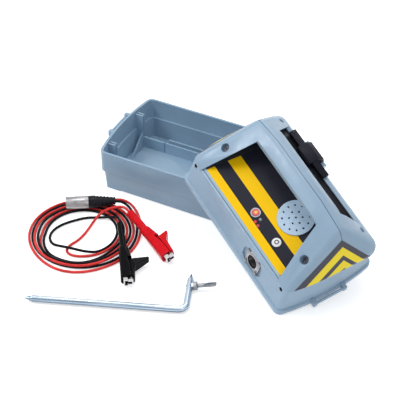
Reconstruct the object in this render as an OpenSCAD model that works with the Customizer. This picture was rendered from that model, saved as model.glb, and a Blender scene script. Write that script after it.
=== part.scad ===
// Cable locator transmitter kit: transmitter, accessory tray, lead set and earth stake.
// Millimetres, +Z up, the floor is z = 0 and the origin is under the middle of the kit.

/* [Footprint shared by the case and the tray] */
// Length between the corners, without the bowed ends
case_l = 214; // [190:1:240]
// Width over the rim
case_w = 135; // [125:1:150]
// How far each end bows outwards
end_bow = 7; // [3:0.5:10]
// Radius of the rim's corners in plan
corner_r = 9; // [8.5:0.5:14]
// Wall of the mouldings
wall = 3; // [2:0.1:4]

/* [Tray] */
// Height of the tray
tray_h = 59; // [50:1:70]
// Height of the wider band under the rim
tray_band = 30; // [22:1:36]
// Step in from the band to the lower walls
tray_step = 2.6; // [1.5:0.1:4]
// Draft of the lower walls
tray_draft = 2.3; // [1:0.1:4]
// Thickness of the tray floor
tray_floor = 3; // [2:0.1:5]
// Height of the corner feet
foot_h = 1.2; // [0.6:0.1:2]
// Length of a corner foot along each side
foot_l = 26; // [15:1:40]
// Height of the long divider above the table
divider_h = 20; // [12:1:28]
// Distance of the divider from the middle
divider_y = 33; // [24:1:40]
// Thickness of dividers and webs
rib_t = 2.5; // [1.5:0.1:4]
// Gap between the two divider walls
channel_w = 6; // [4:0.5:10]
// Top of the end posts above the table
post_h = 55; // [40:1:57]
// Width of an end post
post_w = 6; // [4:0.5:9]
// Height at which the end web meets its post
web_h = 30; // [18:1:40]

/* [Carrying bars] */
// Distance of a lug from the middle of its end
lug_y = 21; // [15:1:30]
// Width of a lug
lug_w = 5; // [3:0.5:8]
// Height of a lug
lug_h = 8; // [5.5:0.5:10]
// How far a lug stands out
lug_out = 6; // [5:0.5:9]
// Radius of the bar between two lugs
bar_r = 1.9; // [1.2:0.1:2.5]

/* [Lower case] */
// Height of the flange
flange_h = 6.5; // [4:0.5:9]
// Step in from the flange to the walls
flange_step = 2.6; // [1.5:0.1:4]
// Height of the lower case
body_h = 44.5; // [42.5:0.5:50]
// Draft of the front wall
front_draft = 7.2; // [4:0.1:9]
// Draft of the rear wall
rear_draft = 2.4; // [1:0.1:4]
// Draft of the end walls
end_draft = 1; // [0.2:0.1:2]

/* [Handle shells] */
// Distance of the ridge behind the middle
ridge_y = 21; // [15:0.5:26]
// Height of the ridge
ridge_top = 103; // [98:0.5:110]
// Radius of the ridge
ridge_r = 12; // [9:0.5:14]
// Half length of the level part of the ridge
ridge_half = 46; // [30:1:60]
// Distance of the ridge's ends from the middle
ridge_end = 80; // [76:1:88]
// Height of the ridge's ends
ridge_end_top = 96; // [92:0.5:98]
// Front edge of the grip
grip_front = 5; // [0:0.5:8]
// Rear edge of the grip
grip_rear = 37; // [33:0.5:40]
// Underside of the grip
grip_low = 86; // [82:0.5:88]
// Half width of the window at its foot
window_low = 85; // [78:0.5:90]
// Half width of the window at the ridge
window_high = 58; // [50:0.5:64]
// Height of the sill of the rear window
sill_z = 59; // [57.5:0.5:62]

/* [Control panel] */
// Slope of the panel
panel_slope = 10; // [6:0.5:12]
// Thickness of the panel
panel_t = 3; // [2:0.1:4]
// Thickness of the printed overlays
overlay_t = 0.4; // [0.2:0.05:0.8]
// Radius of the speaker grille
grille_r = 22.5; // [20:0.5:28]
// Sideways place of the speaker
speaker_x = 31; // [20:0.5:36]
// Radius of a grille hole
grille_hole_r = 1.2; // [0.8:0.1:2.2]
// Radius of the mode button
mode_r = 4.6; // [3.5:0.1:5.5]
// Radius of the power button
power_r = 4.2; // [3.5:0.1:5.5]
// Travel of a button
button_travel = 0.6; // [0.3:0.1:1]

/* [Socket and plug] */
// Radius of the hole in the socket's shell
socket_r = 8.3; // [8.2:0.1:9.3]
// Depth of the socket
socket_depth = 19; // [15:0.5:24]
// Side of the socket's flange
socket_side = 26; // [24:0.5:30]
// Radius of the plug's shell
plug_r = 8.1; // [7:0.1:8.1]
// Length of the plug's shell
plug_l = 29; // [22:0.5:36]
// Length of the plug's boot
boot_l = 34; // [26:0.5:42]

/* [Latch] */
// Radius of the latch's pin
latch_pin_r = 1.8; // [1.2:0.1:2.4]
// Length of the latch's barrel and of its tab
latch_barrel_l = 27; // [22:0.5:32]
// Length of the latch's bar
latch_bar_l = 73; // [56:0.5:76]
// Height of the latch above its pin
latch_h = 14.5; // [13:0.5:16]
// Thickness of the latch's bar
latch_t = 4.1; // [3:0.1:5]

/* [Leads and clips] */
// Diameter of a lead
lead_d = 3.4; // [2.8:0.1:3.6]
// Radius of the outermost turn
coil_r = 71; // [70:0.5:75]
// Spacing of the turns that lie side by side
turn_pitch = 4.1; // [4:0.05:4.3]
// Radius of the red clip's sleeve
red_sleeve_r = 5; // [3.6:0.1:5.6]
// Radius of the black clip's sleeve
black_sleeve_r = 4.1; // [3.6:0.1:5.6]
// Length of the red clip's sleeve
red_sleeve_l = 34; // [24:0.5:38]
// Length of the black clip's sleeve
black_sleeve_l = 43; // [34:0.5:48]
// Length of a clip from its sleeve to the end of its boot
clip_l = 56; // [54:0.5:64]

/* [Earth stake] */
// Length of the stake's rod
stake_l = 192; // [160:1:230]
// Length of the stake's leg
leg_l = 62; // [56:1:90]
// Radius of the rod
stake_r = 4; // [3:0.1:5]
// Radius of the bend at the middle of the rod
bend_r = 10; // [8:0.5:16]
// Radius of the clamp screw
screw_r = 2.5; // [2:0.1:3]

/* [Hidden] */

$fn = 48;
// Overrun of every cut past its face
over = 1;
// Thickness of a slice that a hull starts from
slice = 0.2;
// Gap at a seat, and between pieces that move past each other
seat = 0.3;
// Gap of a piece pushed into its hole
fit = 0.1;
// Radial gap of a pin that turns in its hole
run = 0.05;
// Facets of a hull's round children
hull_fn = 32;
bow_steps = 12;
corner_steps = 6;

case_color = "LightSteelBlue";
dark_color = "DimGray";
metal_color = "Silver";
red_color = "Crimson";
black_color = "#24262c";
yellow_color = "Gold";

// Places of the four things on the floor: the tray's middle, the case's middle and its lean
tray_x = -79.8;
case_x = 65.7;
case_y = 37.5;
case_roll = 9.3;
case_pitch = 19.95;
case_yaw = -29.4;

// Plan of the rim: a rectangle with round corners and bowed ends
function bow_angle(w, bow, r) = atan(2 * bow * (w / 2 - r) / pow(w / 2, 2));
function bow_x(l, w, bow, y) = l / 2 + bow * (1 - pow(2 * y / w, 2));
function plan_side(l, w, bow, r) =
    let (a = bow_angle(w, bow, r), ys = w / 2 - r + r * sin(a), cx = bow_x(l, w, bow, ys) - r * cos(a))
    concat(
        [for (i = [corner_steps : -1 : 1])
            let (t = a + (90 - a) * i / corner_steps) [cx + r * cos(t), -(w / 2 - r) - r * sin(t)]],
        [for (i = [0 : bow_steps]) let (y = ys * (2 * i / bow_steps - 1)) [bow_x(l, w, bow, y), y]],
        [for (i = [1 : corner_steps])
            let (t = a + (90 - a) * i / corner_steps) [cx + r * cos(t), w / 2 - r + r * sin(t)]]);
function plan(l, w, bow, r) = let (side = plan_side(l, w, bow, r)) concat(side, [for (p = side) -p]);

module plan_slab(inset, h) {
    linear_extrude(h)
        polygon(plan(case_l - 2 * inset, case_w - 2 * inset, end_bow, corner_r - inset));
}

// Two lugs and a bar on one end, the lugs' underside at z = 0
lug_root = wall / 2;
module end_bar() {
    lug_x = bow_x(case_l, case_w, end_bow, lug_y);
    for (s = [-1, 1])
        translate([lug_x - lug_root, s * lug_y - lug_w / 2, 0])
            cube([lug_out + lug_root, lug_w, lug_h]);
    translate([lug_x + lug_out - bar_r, lug_y, lug_h / 2])
        rotate([90, 0, 0])
            cylinder(r = bar_r, h = 2 * lug_y);
}

module both_ends() {
    children();
    rotate([0, 0, 180]) children();
}

// Tray
tray_ledge = tray_h - tray_band + wall;
tray_low_inset = tray_step + tray_draft;
post_x = case_l / 2 - wall - tray_low_inset;
post_t = 1;
post_rib = 1.8;
front_post_y = -40;
notch_from_end = 40;
notch_x = notch_from_end - case_l / 2;
notch_w = 2;
latch_x = -32.5;

module on_tray() {
    translate([tray_x, tray_y, 0]) children();
}

module tray_solid() {
    translate([0, 0, tray_h - tray_band])
        plan_slab(0, tray_band);
    hull() {
        translate([0, 0, tray_h - tray_band])
            plan_slab(tray_step, slice);
        translate([0, 0, foot_h])
            plan_slab(tray_low_inset, slice);
    }
}

module tray_feet() {
    intersection() {
        plan_slab(tray_low_inset, foot_h + slice);
        for (sx = [-1, 1], sy = [-1, 1])
            translate([sx * case_l / 2, sy * case_w / 2, 0])
                cube(2 * foot_l, center = true);
    }
}

module end_posts() {
    for (y = [divider_y, front_post_y], s = [-1, 1])
        translate([-case_l / 2 - end_bow, y + s * (post_w - post_rib) / 2 - post_rib / 2, foot_h + slice])
            cube([case_l / 2 + end_bow - post_x + post_t, post_rib, post_h - foot_h - slice]);
}

module tray_ribs() {
    both_ends_y = divider_y + rib_t / 2;
    end_posts();
    mirror([1, 0, 0]) end_posts();
    translate([-post_x + post_t - rib_t, 0, foot_h + tray_floor])
        rotate([90, 0, 90])
            linear_extrude(rib_t)
                polygon([[0, 0], [divider_y, 0], [divider_y, web_h - tray_floor - foot_h]]);
    translate([-post_x, divider_y - rib_t / 2, foot_h + slice])
        cube([notch_x + post_x, rib_t, divider_h - foot_h - slice]);
    for (y = [divider_y - rib_t / 2, both_ends_y + channel_w])
        translate([notch_x + notch_w, y, foot_h + slice])
            cube([post_x - notch_x - notch_w, rib_t, divider_h - foot_h - slice]);
}

module tray_shell() {
    color(case_color) on_tray() {
        difference() {
            union() {
                tray_solid();
                tray_feet();
                both_ends() translate([0, 0, tray_h - lug_h]) end_bar();
            }
            translate([0, 0, tray_ledge])
                plan_slab(wall, tray_h);
            hull() {
                translate([0, 0, tray_ledge])
                    plan_slab(tray_step + wall, slice);
                translate([0, 0, foot_h + tray_floor])
                    plan_slab(tray_low_inset + wall, slice);
            }
        }
        intersection() {
            tray_ribs();
            tray_solid();
        }
    }
}

// Transmitter: its underside is z = 0 and its front is -Y until it leans on the tray
rim = plan(case_l, case_w, end_bow, corner_r);
case_z = -min([for (p = rim) cos(case_pitch) * sin(case_roll) * p[1] - sin(case_pitch) * p[0]]);
// The tray's front corner reaches this far past the plane of the transmitter's underside
corner_past = 0.853;
lean_x = sin(case_pitch) * cos(case_roll);
lean = [cos(case_yaw) * lean_x + sin(case_yaw) * sin(case_roll),
    sin(case_yaw) * lean_x - cos(case_yaw) * sin(case_roll), cos(case_pitch) * cos(case_roll)];
tray_front = case_y - (lean[2] * (tray_h - corner_past - case_z)
    + lean[0] * (tray_x + case_l / 2 - case_x)) / lean[1];
tray_y = tray_front + case_w / 2;

module on_case() {
    translate([case_x, case_y, case_z]) rotate([case_roll, case_pitch, case_yaw]) children();
}

top_l = case_l - 2 * (flange_step + end_draft);
top_front = -case_w / 2 + flange_step + front_draft;
top_rear = case_w / 2 - flange_step - rear_draft;
top_w = top_rear - top_front;
top_mid = (top_rear + top_front) / 2;
front_angle = atan(front_draft / (body_h - flange_h));

module top_slab(inset, h) {
    translate([0, top_mid, 0])
        linear_extrude(h)
            polygon(plan(top_l - 2 * inset, top_w - 2 * inset, end_bow, corner_r - inset));
}

function front_y(z) = -case_w / 2 + flange_step + (z - flange_h) * tan(front_angle);

module on_front(x, z) {
    translate([x, front_y(z), z]) rotate([90 - front_angle, 0, 0]) children();
}

// Screws, bosses and the socket's pocket in the lower case
base_t = 3;
boss_in_x = 14;
boss_in_y = 16.5;
boss_x = case_l / 2 - boss_in_x;
boss_y = case_w / 2 - boss_in_y;
boss_r = 4;
boss_h = 24;
case_screw_r = 1.5;
case_head_r = 2.8;
case_head_h = 1.6;
case_screw_l = 14;
foot_hole_x = 94.5;
foot_hole_z = 41;
foot_hole_r = 2.2;
socket_x = 41;
socket_z = 22;
pocket_w = 38;
pocket_h = 29;
pocket_cut = 8;
pocket_d = 2.6;
pocket_back = 2.4;
socket_wall = 2.7;
socket_plate = 2;

function chamfered(w, h, c) = [[-w / 2 + c, -h / 2], [w / 2 - c, -h / 2], [w / 2, -h / 2 + c],
    [w / 2, h / 2 - c], [w / 2 - c, h / 2], [-w / 2 + c, h / 2], [-w / 2, h / 2 - c], [-w / 2, -h / 2 + c]];

module at_corners(x, y) {
    for (sx = [-1, 1], sy = [-1, 1])
        translate([sx * x, sy * y, 0]) children();
}

module case_bosses() {
    at_corners(boss_x, boss_y)
        translate([0, 0, base_t])
            cylinder(r = boss_r, h = boss_h);
    for (sx = [-1, 1], sy = [-1, 1])
        translate([sx * (boss_x + top_l / 2) / 2, sy * boss_y, base_t + boss_h / 2])
            cube([top_l / 2 - boss_x, rib_t, boss_h], center = true);
}

module lower_case() {
    color(case_color) on_case() difference() {
        union() {
            difference() {
                union() {
                    plan_slab(0, flange_h);
                    hull() {
                        translate([0, 0, flange_h - slice])
                            plan_slab(flange_step, slice);
                        translate([0, 0, body_h - slice])
                            top_slab(0, slice);
                    }
                    both_ends() end_bar();
                }
                hull() {
                    translate([0, 0, -over])
                        plan_slab(flange_step + wall, slice);
                    translate([0, 0, body_h + over])
                        top_slab(wall, slice);
                }
            }
            case_bosses();
            on_front(socket_x, socket_z)
                translate([0, 0, -pocket_d - pocket_back])
                    linear_extrude(pocket_d + pocket_back - slice)
                        polygon(chamfered(pocket_w + 2 * wall, pocket_h + wall, pocket_cut));
        }
        on_front(socket_x, socket_z) {
            translate([0, 0, -pocket_d])
                linear_extrude(pocket_d + over)
                    polygon(chamfered(pocket_w, pocket_h, pocket_cut));
            translate([0, 0, -socket_depth])
                cylinder(r = socket_r + socket_wall + fit, h = socket_depth);
            at_corners(socket_hole, socket_hole)
                translate([0, 0, -socket_depth])
                    cylinder(r = socket_screw_r + fit, h = socket_depth);
        }
        for (sx = [-1, 1])
            on_front(sx * foot_hole_x, foot_hole_z)
                translate([0, 0, -wall - over])
                    cylinder(r = foot_hole_r, h = wall + 2 * over);
        at_corners(boss_x, boss_y)
            translate([0, 0, base_t - over])
                cylinder(r = case_screw_r + fit, h = boss_h);
    }
}

// Base plate and what stands on it
plate_gap = 1;
plate_inset = flange_step + wall + plate_gap;
cell_share = 0.123;
cell_r = case_w * cell_share;
cell_l = 61.5;
cell_gap = 0.4;
holder_wall = 1.4;
holder_gap = 2.3;
contact_t = 1;
contact_side = 22;
bay_l = 2 * cell_l + 2 * contact_t + 2 * cell_gap;
bay_w = 4 * cell_r + 3 * cell_gap;
bay_h = 2 * cell_r + cell_gap;
holder_y = top_rear - wall - holder_gap - holder_wall - bay_w / 2;
holder_top = base_t + bay_h + holder_wall;
board_drop = 8.5;
board_z = body_h - board_drop;
board_t = 1.6;
board_l = 150;
board_front_gap = 6.7;
board_rear_gap = 0.8;
board_front = top_front + wall + board_front_gap;
board_rear = holder_y - bay_w / 2 - holder_wall - board_rear_gap;
board_w = board_rear - board_front;
board_y = (board_rear + board_front) / 2;
post_r = 3;
post_in = 3;
rod_r = 6;
rod_l = 90;
rod_x = -21;
rod_in = 10;
rod_y = board_front + rod_in;
rod_z = 17;
winding_r = 9;
winding_l = 56;
cradle_t = 5;

module base_plate() {
    color(case_color) on_case() {
        difference() {
            union() {
                plan_slab(plate_inset, base_t);
                for (sx = [-1, 1], sy = [-1, 1])
                    translate([sx * (board_l / 2 - post_in), board_y + sy * (board_w / 2 - post_in), 0])
                        cylinder(r = post_r, h = board_z);
                for (s = [-1, 1])
                    translate([rod_x + s * (rod_l / 2 - cradle_t), rod_y, rod_z / 2])
                        cube([cradle_t, 2 * rod_r, rod_z], center = true);
            }
            at_corners(boss_x, boss_y) {
                translate([0, 0, -over])
                    cylinder(r = case_screw_r + fit, h = base_t + 2 * over);
                translate([0, 0, -over])
                    cylinder(r = case_head_r + fit, h = case_head_h + over);
            }
            translate([rod_x - rod_l / 2 - over, rod_y, rod_z])
                rotate([0, 90, 0])
                    cylinder(r = rod_r + fit, h = rod_l + 2 * over);
        }
    }
}

module base_screws() {
    color(metal_color) on_case() at_corners(boss_x, boss_y) difference() {
        union() {
            cylinder(r = case_head_r, h = case_head_h);
            cylinder(r = case_screw_r, h = case_screw_l);
        }
        translate([0, 0, -over])
            cylinder(r = case_screw_r, h = case_head_h / 2 + over, $fn = 6);
    }
}

module battery_holder() {
    color(dark_color) on_case() translate([0, holder_y, base_t]) difference() {
        translate([0, 0, (bay_h + holder_wall) / 2])
            cube([bay_l + 2 * holder_wall, bay_w + 2 * holder_wall, bay_h + holder_wall], center = true);
        translate([0, 0, (bay_h - over) / 2])
            cube([bay_l, bay_w, bay_h + over], center = true);
    }
}

module at_cells() {
    for (sx = [-1, 1], sy = [-1, 1])
        translate([sx * (cell_l + cell_gap) / 2, holder_y + sy * (cell_r + cell_gap / 2), base_t + cell_r])
            children();
}

module battery_cells() {
    nub_r = cell_r / 4;
    nub_l = 1.5;
    color(black_color) on_case() at_cells() rotate([0, 90, 0]) {
        translate([0, 0, -cell_l / 2])
            cylinder(r = cell_r, h = cell_l - nub_l);
        translate([0, 0, cell_l / 2 - nub_l])
            cylinder(r = nub_r, h = nub_l);
    }
}

module battery_contacts() {
    color(metal_color) on_case()
        for (sx = [-1, 1], sy = [-1, 1])
            translate([sx * (bay_l - contact_t) / 2, holder_y + sy * (cell_r + cell_gap / 2),
                base_t + cell_r])
                cube([contact_t, contact_side, contact_side], center = true);
}

module circuit_board() {
    color("SeaGreen") on_case()
        translate([0, board_y, board_z + board_t / 2])
            cube([board_l, board_w, board_t], center = true);
}

module ferrite_rod() {
    color(dark_color) on_case()
        translate([rod_x - rod_l / 2, rod_y, rod_z])
            rotate([0, 90, 0])
                cylinder(r = rod_r, h = rod_l);
}

module antenna_winding() {
    color("Peru") on_case()
        translate([rod_x - winding_l / 2, rod_y, rod_z])
            rotate([0, 90, 0])
                difference() {
                    cylinder(r = winding_r, h = winding_l);
                    translate([0, 0, -over])
                        cylinder(r = rod_r + fit, h = winding_l + 2 * over);
                }
}

// Handle: a gable over the lower case, with a window in front and one behind
shoulder_in = 9;
lip_r = 5;
lip_half = 88;
ridge_end_r = 10;
shoulder_r = 14;
shoulder_x = [-90, 98.5];
shoulder_y = top_rear - shoulder_in;
shoulder_up = 2;
shoulder_h = 4.5;
shoulder_flat = 0.6;
rear_out = shoulder_y + shoulder_r;
cut_top = 2 * ridge_top;
sill_extra = 1;
sill_y = top_rear - wall - sill_extra;
end_slope = atan2(ridge_end_top - ridge_end_r - body_h, ridge_y - top_front)
    + asin(ridge_end_r / norm([ridge_end_top - ridge_end_r - body_h, ridge_y - top_front]));

module dome(r) {
    rotate_extrude($fn = hull_fn)
        intersection() {
            circle(r = r);
            square(r);
        }
}

module gable(inset, drop) {
    hull() {
        translate([0, 0, body_h - drop])
            top_slab(inset, slice);
        translate([-lip_half + inset, top_rear - lip_r, sill_z - lip_r])
            rotate([0, 90, 0])
                cylinder(r = lip_r - inset, h = 2 * (lip_half - inset), $fn = hull_fn);
        translate([-ridge_half, ridge_y, ridge_top - ridge_r])
            rotate([0, 90, 0])
                cylinder(r = ridge_r - inset, h = 2 * ridge_half, $fn = hull_fn);
        for (s = [-1, 1])
            translate([s * ridge_end, ridge_y, ridge_end_top - ridge_end_r])
                sphere(r = ridge_end_r - inset, $fn = hull_fn);
        for (x = shoulder_x)
            translate([x, shoulder_y, body_h + shoulder_up]) {
                cylinder(r = shoulder_r - inset, h = shoulder_h, $fn = hull_fn);
                translate([0, 0, shoulder_h])
                    scale([1, 1, shoulder_flat])
                        dome(shoulder_r - inset);
            }
    }
}

function window_half(z) = window_low + (window_high - window_low) * (z - body_h) / (ridge_top - body_h);

module window_sides(grow) {
    translate([0, case_w, 0])
        rotate([90, 0, 0])
            linear_extrude(2 * case_w)
                polygon([[-window_half(0) - grow, 0], [window_half(0) + grow, 0],
                    [window_half(cut_top) + grow, cut_top], [-window_half(cut_top) - grow, cut_top]]);
}

module along_case() {
    rotate([90, 0, 90]) linear_extrude(2 * case_l, center = true) children();
}

module window_cut(grow) {
    intersection() {
        window_sides(grow);
        along_case()
            polygon([[-case_w, body_h - over], [-case_w, cut_top], [grip_front + grow, cut_top],
                [grip_front + grow, grip_low + grow], [grip_rear - grow, grip_low + grow],
                [grip_rear - grow, cut_top], [case_w, cut_top], [case_w, sill_z - grow / 2],
                [sill_y + grow / 2, sill_z - grow / 2], [sill_y + grow / 2, body_h - over]]);
    }
}

// Counterbored screws: the front pair in the end slopes, the rear pair beside the rear window
hand_screw_x = 86;
hand_screw_y = -24;
cup_r = 8.2;
cup_bore_r = 5.6;
cup_d = 7;
cup_floor = 3;
hand_head_r = 3.6;
hand_head_h = 2;
hand_screw_l = 9;
rear_slope = atan2(ridge_end_top - sill_z, top_rear - lip_r - ridge_y);
rear_screw_in = 5.5;
rear_screw_up = 6.4;
rear_screw_y = top_rear - rear_screw_in;
rear_screw_z = sill_z + rear_screw_up;

module at_hand_screws() {
    for (s = [-1, 1])
        translate([s * hand_screw_x, hand_screw_y, body_h + (hand_screw_y - top_front) * tan(end_slope)])
            rotate([end_slope, 0, 0]) children();
}

module at_rear_screws() {
    for (s = [-1, 1])
        translate([s * hand_screw_x, rear_screw_y, rear_screw_z])
            rotate([-rear_slope, 0, 0]) children();
}

module gable_half(front) {
    difference() {
        intersection() {
            gable(0, 0);
            translate([-case_l, front ? ridge_y - case_w : ridge_y, 0])
                cube([2 * case_l, case_w, cut_top]);
        }
        window_cut(0);
        difference() {
            gable(wall, over);
            window_cut(wall);
            children();
        }
    }
}

module handle_front_shell() {
    color(case_color) on_case() difference() {
        gable_half(true)
            at_hand_screws()
                translate([0, 0, -cup_d - cup_floor])
                    cylinder(r = cup_r, h = cup_d + cup_floor);
        at_hand_screws() {
            translate([0, 0, -cup_d])
                cylinder(r = cup_bore_r, h = ridge_top);
            translate([0, 0, -ridge_top / 2])
                cylinder(r = case_screw_r + fit, h = ridge_top / 2);
        }
    }
}

// Latch hinged on a pin across the rear shell
latch_off = 4.6;
latch_below = 9;
latch_y = rear_out + latch_off;
latch_z = sill_z - latch_below;
latch_lug_w = 5;
latch_side_gap = 1;
latch_span = latch_barrel_l + 2 * (latch_lug_w + latch_side_gap);
latch_lug_r = 3.6;
latch_wall = 2.2;
latch_low = sill_z + seat + fit - latch_z;
latch_tab = 15.5;
latch_reach = latch_off + latch_tab;
latch_bar_w = 8.5;
latch_bar_in = 6.6;
latch_round = 2;
latch_bend = 5;

module at_latch() {
    translate([latch_x, latch_y, latch_z]) children();
}

module latch_lugs() {
    difference() {
        for (s = [-1, 1])
            translate([s * (latch_span - latch_lug_w) / 2 - latch_lug_w / 2, 0, 0]) {
                rotate([0, 90, 0])
                    cylinder(r = latch_lug_r, h = latch_lug_w);
                translate([0, rear_out - latch_y - wall, -latch_lug_r])
                    cube([latch_lug_w, latch_y - rear_out + wall, 2 * latch_lug_r]);
            }
        translate([-latch_span, 0, 0])
            rotate([0, 90, 0])
                cylinder(r = latch_pin_r + fit, h = 2 * latch_span);
    }
}

module handle_rear_shell() {
    color(case_color) on_case() {
        difference() {
            gable_half(false)
                at_rear_screws()
                    translate([0, 0, -cup_d - cup_floor])
                        cylinder(r = hand_head_r + wall, h = cup_d + cup_floor);
            at_rear_screws() {
                translate([0, 0, -cup_d])
                    cylinder(r = hand_head_r + fit, h = ridge_top);
                translate([0, 0, -ridge_top / 2])
                    cylinder(r = case_screw_r + fit, h = ridge_top / 2);
            }
        }
        at_latch() latch_lugs();
    }
}

module handle_screw() {
    difference() {
        union() {
            translate([0, 0, -cup_d])
                cylinder(r = hand_head_r, h = hand_head_h);
            translate([0, 0, -cup_d - hand_screw_l])
                cylinder(r = case_screw_r, h = hand_screw_l);
        }
        translate([0, 0, hand_head_h / 2 - cup_d])
            cylinder(r = case_screw_r, h = hand_head_h, $fn = 6);
    }
}

module handle_screws() {
    color(metal_color) on_case() {
        at_hand_screws() handle_screw();
        at_rear_screws() handle_screw();
    }
}

module latch_pin() {
    color(metal_color) on_case() at_latch()
        translate([-latch_span / 2, 0, 0])
            rotate([0, 90, 0])
                cylinder(r = latch_pin_r, h = latch_span);
}

module latch() {
    barrel_r = latch_pin_r + latch_wall;
    color(black_color) on_case() at_latch() difference() {
        union() {
            translate([-latch_barrel_l / 2, 0, 0])
                rotate([0, 90, 0])
                    cylinder(r = barrel_r, h = latch_barrel_l);
            rotate([90, 0, 90])
                linear_extrude(latch_barrel_l, center = true)
                    polygon([[-latch_reach, latch_low], [-latch_reach, latch_h - latch_round],
                        [latch_round - latch_reach, latch_h], [-latch_bend, latch_h],
                        [latch_round, latch_low], [barrel_r, 0], [0, 0],
                        [-latch_round, latch_bend], [-latch_bend, latch_low]]);
            translate([-latch_bar_l / 2, -latch_bar_in - latch_bar_w, latch_low])
                cube([latch_bar_l, latch_bar_w, latch_t]);
        }
        translate([-latch_span / 2, 0, 0])
            rotate([0, 90, 0])
                cylinder(r = latch_pin_r + run, h = latch_span);
    }
}

// Panel: slopes up from the front, then falls a little behind the grip
panel_front = top_front + wall + seat;
panel_up = 0.7;
panel_front_z = body_h + panel_up;
panel_rear = sill_y - seat;
panel_sunk = 2.6;
function panel_place(share) = panel_front + share * (panel_rear - panel_front);
break_share = 0.767;
panel_break = panel_place(break_share);
function panel_z(y) = panel_front_z + (y - panel_front) * tan(panel_slope);
panel_rear_z = sill_z - panel_sunk;
speaker_share = 0.502;
speaker_y = panel_place(speaker_share);
sound_r = 20;
mode_x = -1;
power_x = 44.5;
button_share = 0.19;
button_y = panel_place(button_share);
button_lip = 1.4;
button_lip_t = 1.2;
button_rise = 1.8;
bezel_w = 2.2;
bezel_h = 1;
lens_r = 2;
lens_share = 0.133;
lens_y = panel_place(lens_share);
lens_x = [8.4, 14.4, 9.3];
lens_at = [[lens_x[0], lens_y], [lens_x[1], lens_y], [lens_x[2], button_y]];

module on_panel(x, y) {
    translate([x, y, panel_z(y)]) rotate([panel_slope, 0, 0]) children();
}

module panel_holes(r) {
    on_panel(speaker_x, speaker_y)
        translate([0, 0, -2 * panel_t])
            cylinder(r = r, h = 4 * panel_t);
    button_hole(mode_x, mode_r);
    button_hole(power_x, power_r);
    for (p = lens_at)
        on_panel(p[0], p[1])
            translate([0, 0, -2 * panel_t])
                cylinder(r = lens_r + fit, h = 4 * panel_t);
}

module button_hole(x, r) {
    on_panel(x, button_y)
        translate([0, 0, -2 * panel_t])
            cylinder(r = r + seat, h = 4 * panel_t);
}

module control_panel() {
    color(dark_color) on_case() difference() {
        intersection() {
            window_sides(-seat);
            along_case()
                polygon([[panel_front, panel_front_z], [panel_break, panel_z(panel_break)],
                    [panel_rear, panel_rear_z], [panel_rear, panel_rear_z - panel_t],
                    [panel_break, panel_z(panel_break) - panel_t], [panel_front, panel_front_z - panel_t]]);
        }
        panel_holes(sound_r);
    }
}

// Overlays: outlines as shares of the window's half width, in (share across, place along)
overlay_margin = 3.1;
overlay_front = panel_front + overlay_margin;
overlay_front_share = 0.96;
overlay_back_share = 0.8;

module panel_overlay() {
    half = window_low - seat;
    color(yellow_color) on_case() difference() {
        intersection() {
            linear_extrude(ridge_top)
                polygon([[-half * overlay_front_share, overlay_front],
                    [half * overlay_front_share, overlay_front],
                    [half * overlay_back_share, panel_break],
                    [-half * overlay_back_share, panel_break]]);
            along_case()
                polygon([[panel_front, panel_front_z], [panel_break, panel_z(panel_break)],
                    [panel_break, panel_z(panel_break) + overlay_t],
                    [panel_front, panel_front_z + overlay_t]]);
        }
        panel_holes(grille_r + fit);
    }
}

module rear_overlay() {
    half = (window_low - seat) * overlay_back_share;
    color(black_color) on_case() intersection() {
        linear_extrude(ridge_top)
            translate([-half, panel_break + overlay_t])
                square([2 * half, panel_rear - panel_break - 2 * overlay_t]);
        along_case()
            polygon([[panel_break, panel_z(panel_break)], [panel_break, panel_z(panel_break) + overlay_t],
                [panel_rear, panel_rear_z + overlay_t], [panel_rear, panel_rear_z]]);
    }
}

chevron_front = -47.5;
chevron_rear = 56;
chevron_foot = body_h + fit;
chevron_top = 84;

module end_overlays() {
    color(yellow_color) on_case()
        for (s = [-1, 1])
            intersection() {
                difference() {
                    translate([s * overlay_t, 0, 0])
                        gable(0, 0);
                    gable(0, 0);
                }
                translate([s > 0 ? 0 : -case_l, 0, 0])
                    rotate([90, 0, 90])
                        linear_extrude(case_l)
                            polygon([[chevron_front, chevron_foot], [chevron_rear, chevron_foot],
                                [ridge_y, chevron_top]]);
            }
}

// Speaker and its grille
speaker_r = 23;
basket_t = 3;
magnet_r = 12;
magnet_share = 0.62;
magnet_h = magnet_share * (panel_z(speaker_y) - panel_t - basket_t - holder_top);
grille_t = 2.2;
ring_counts = [1, 6, 12];
ring_step_share = 0.36;

module speaker() {
    color(dark_color) on_case() on_panel(speaker_x, speaker_y) {
        translate([0, 0, -panel_t - basket_t])
            cylinder(r = speaker_r, h = basket_t);
        translate([0, 0, -panel_t - basket_t - magnet_h])
            cylinder(r = magnet_r, h = magnet_h + basket_t / 2);
    }
}

module speaker_grille() {
    color(case_color) on_case() on_panel(speaker_x, speaker_y) difference() {
        cylinder(r = grille_r, h = grille_t);
        for (ring = [0 : len(ring_counts) - 1], i = [0 : ring_counts[ring] - 1])
            rotate([0, 0, 360 * i / ring_counts[ring]])
                translate([ring * ring_step_share * grille_r, 0, -over])
                    cylinder(r = grille_hole_r, h = grille_t + 2 * over, $fn = 16);
    }
}

// Buttons slide through the panel, each over its switch on the board
switch_side = 6;
switch_h = 3.6;

module button(x, r) {
    on_case() on_panel(x, button_y) {
        translate([0, 0, -panel_t - seat - button_lip_t])
            cylinder(r = r, h = panel_t + seat + button_lip_t + button_rise);
        translate([0, 0, -panel_t - seat - button_lip_t])
            cylinder(r = r + button_lip, h = button_lip_t);
    }
}

module bezel(x, r, w) {
    on_case() on_panel(x, button_y)
        translate([0, 0, overlay_t])
            difference() {
                cylinder(r = r + seat + w, h = bezel_h);
                translate([0, 0, -over])
                    cylinder(r = r + seat, h = bezel_h + 2 * over);
            }
}

module mode_button() {
    color(red_color) button(mode_x, mode_r);
}

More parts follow.
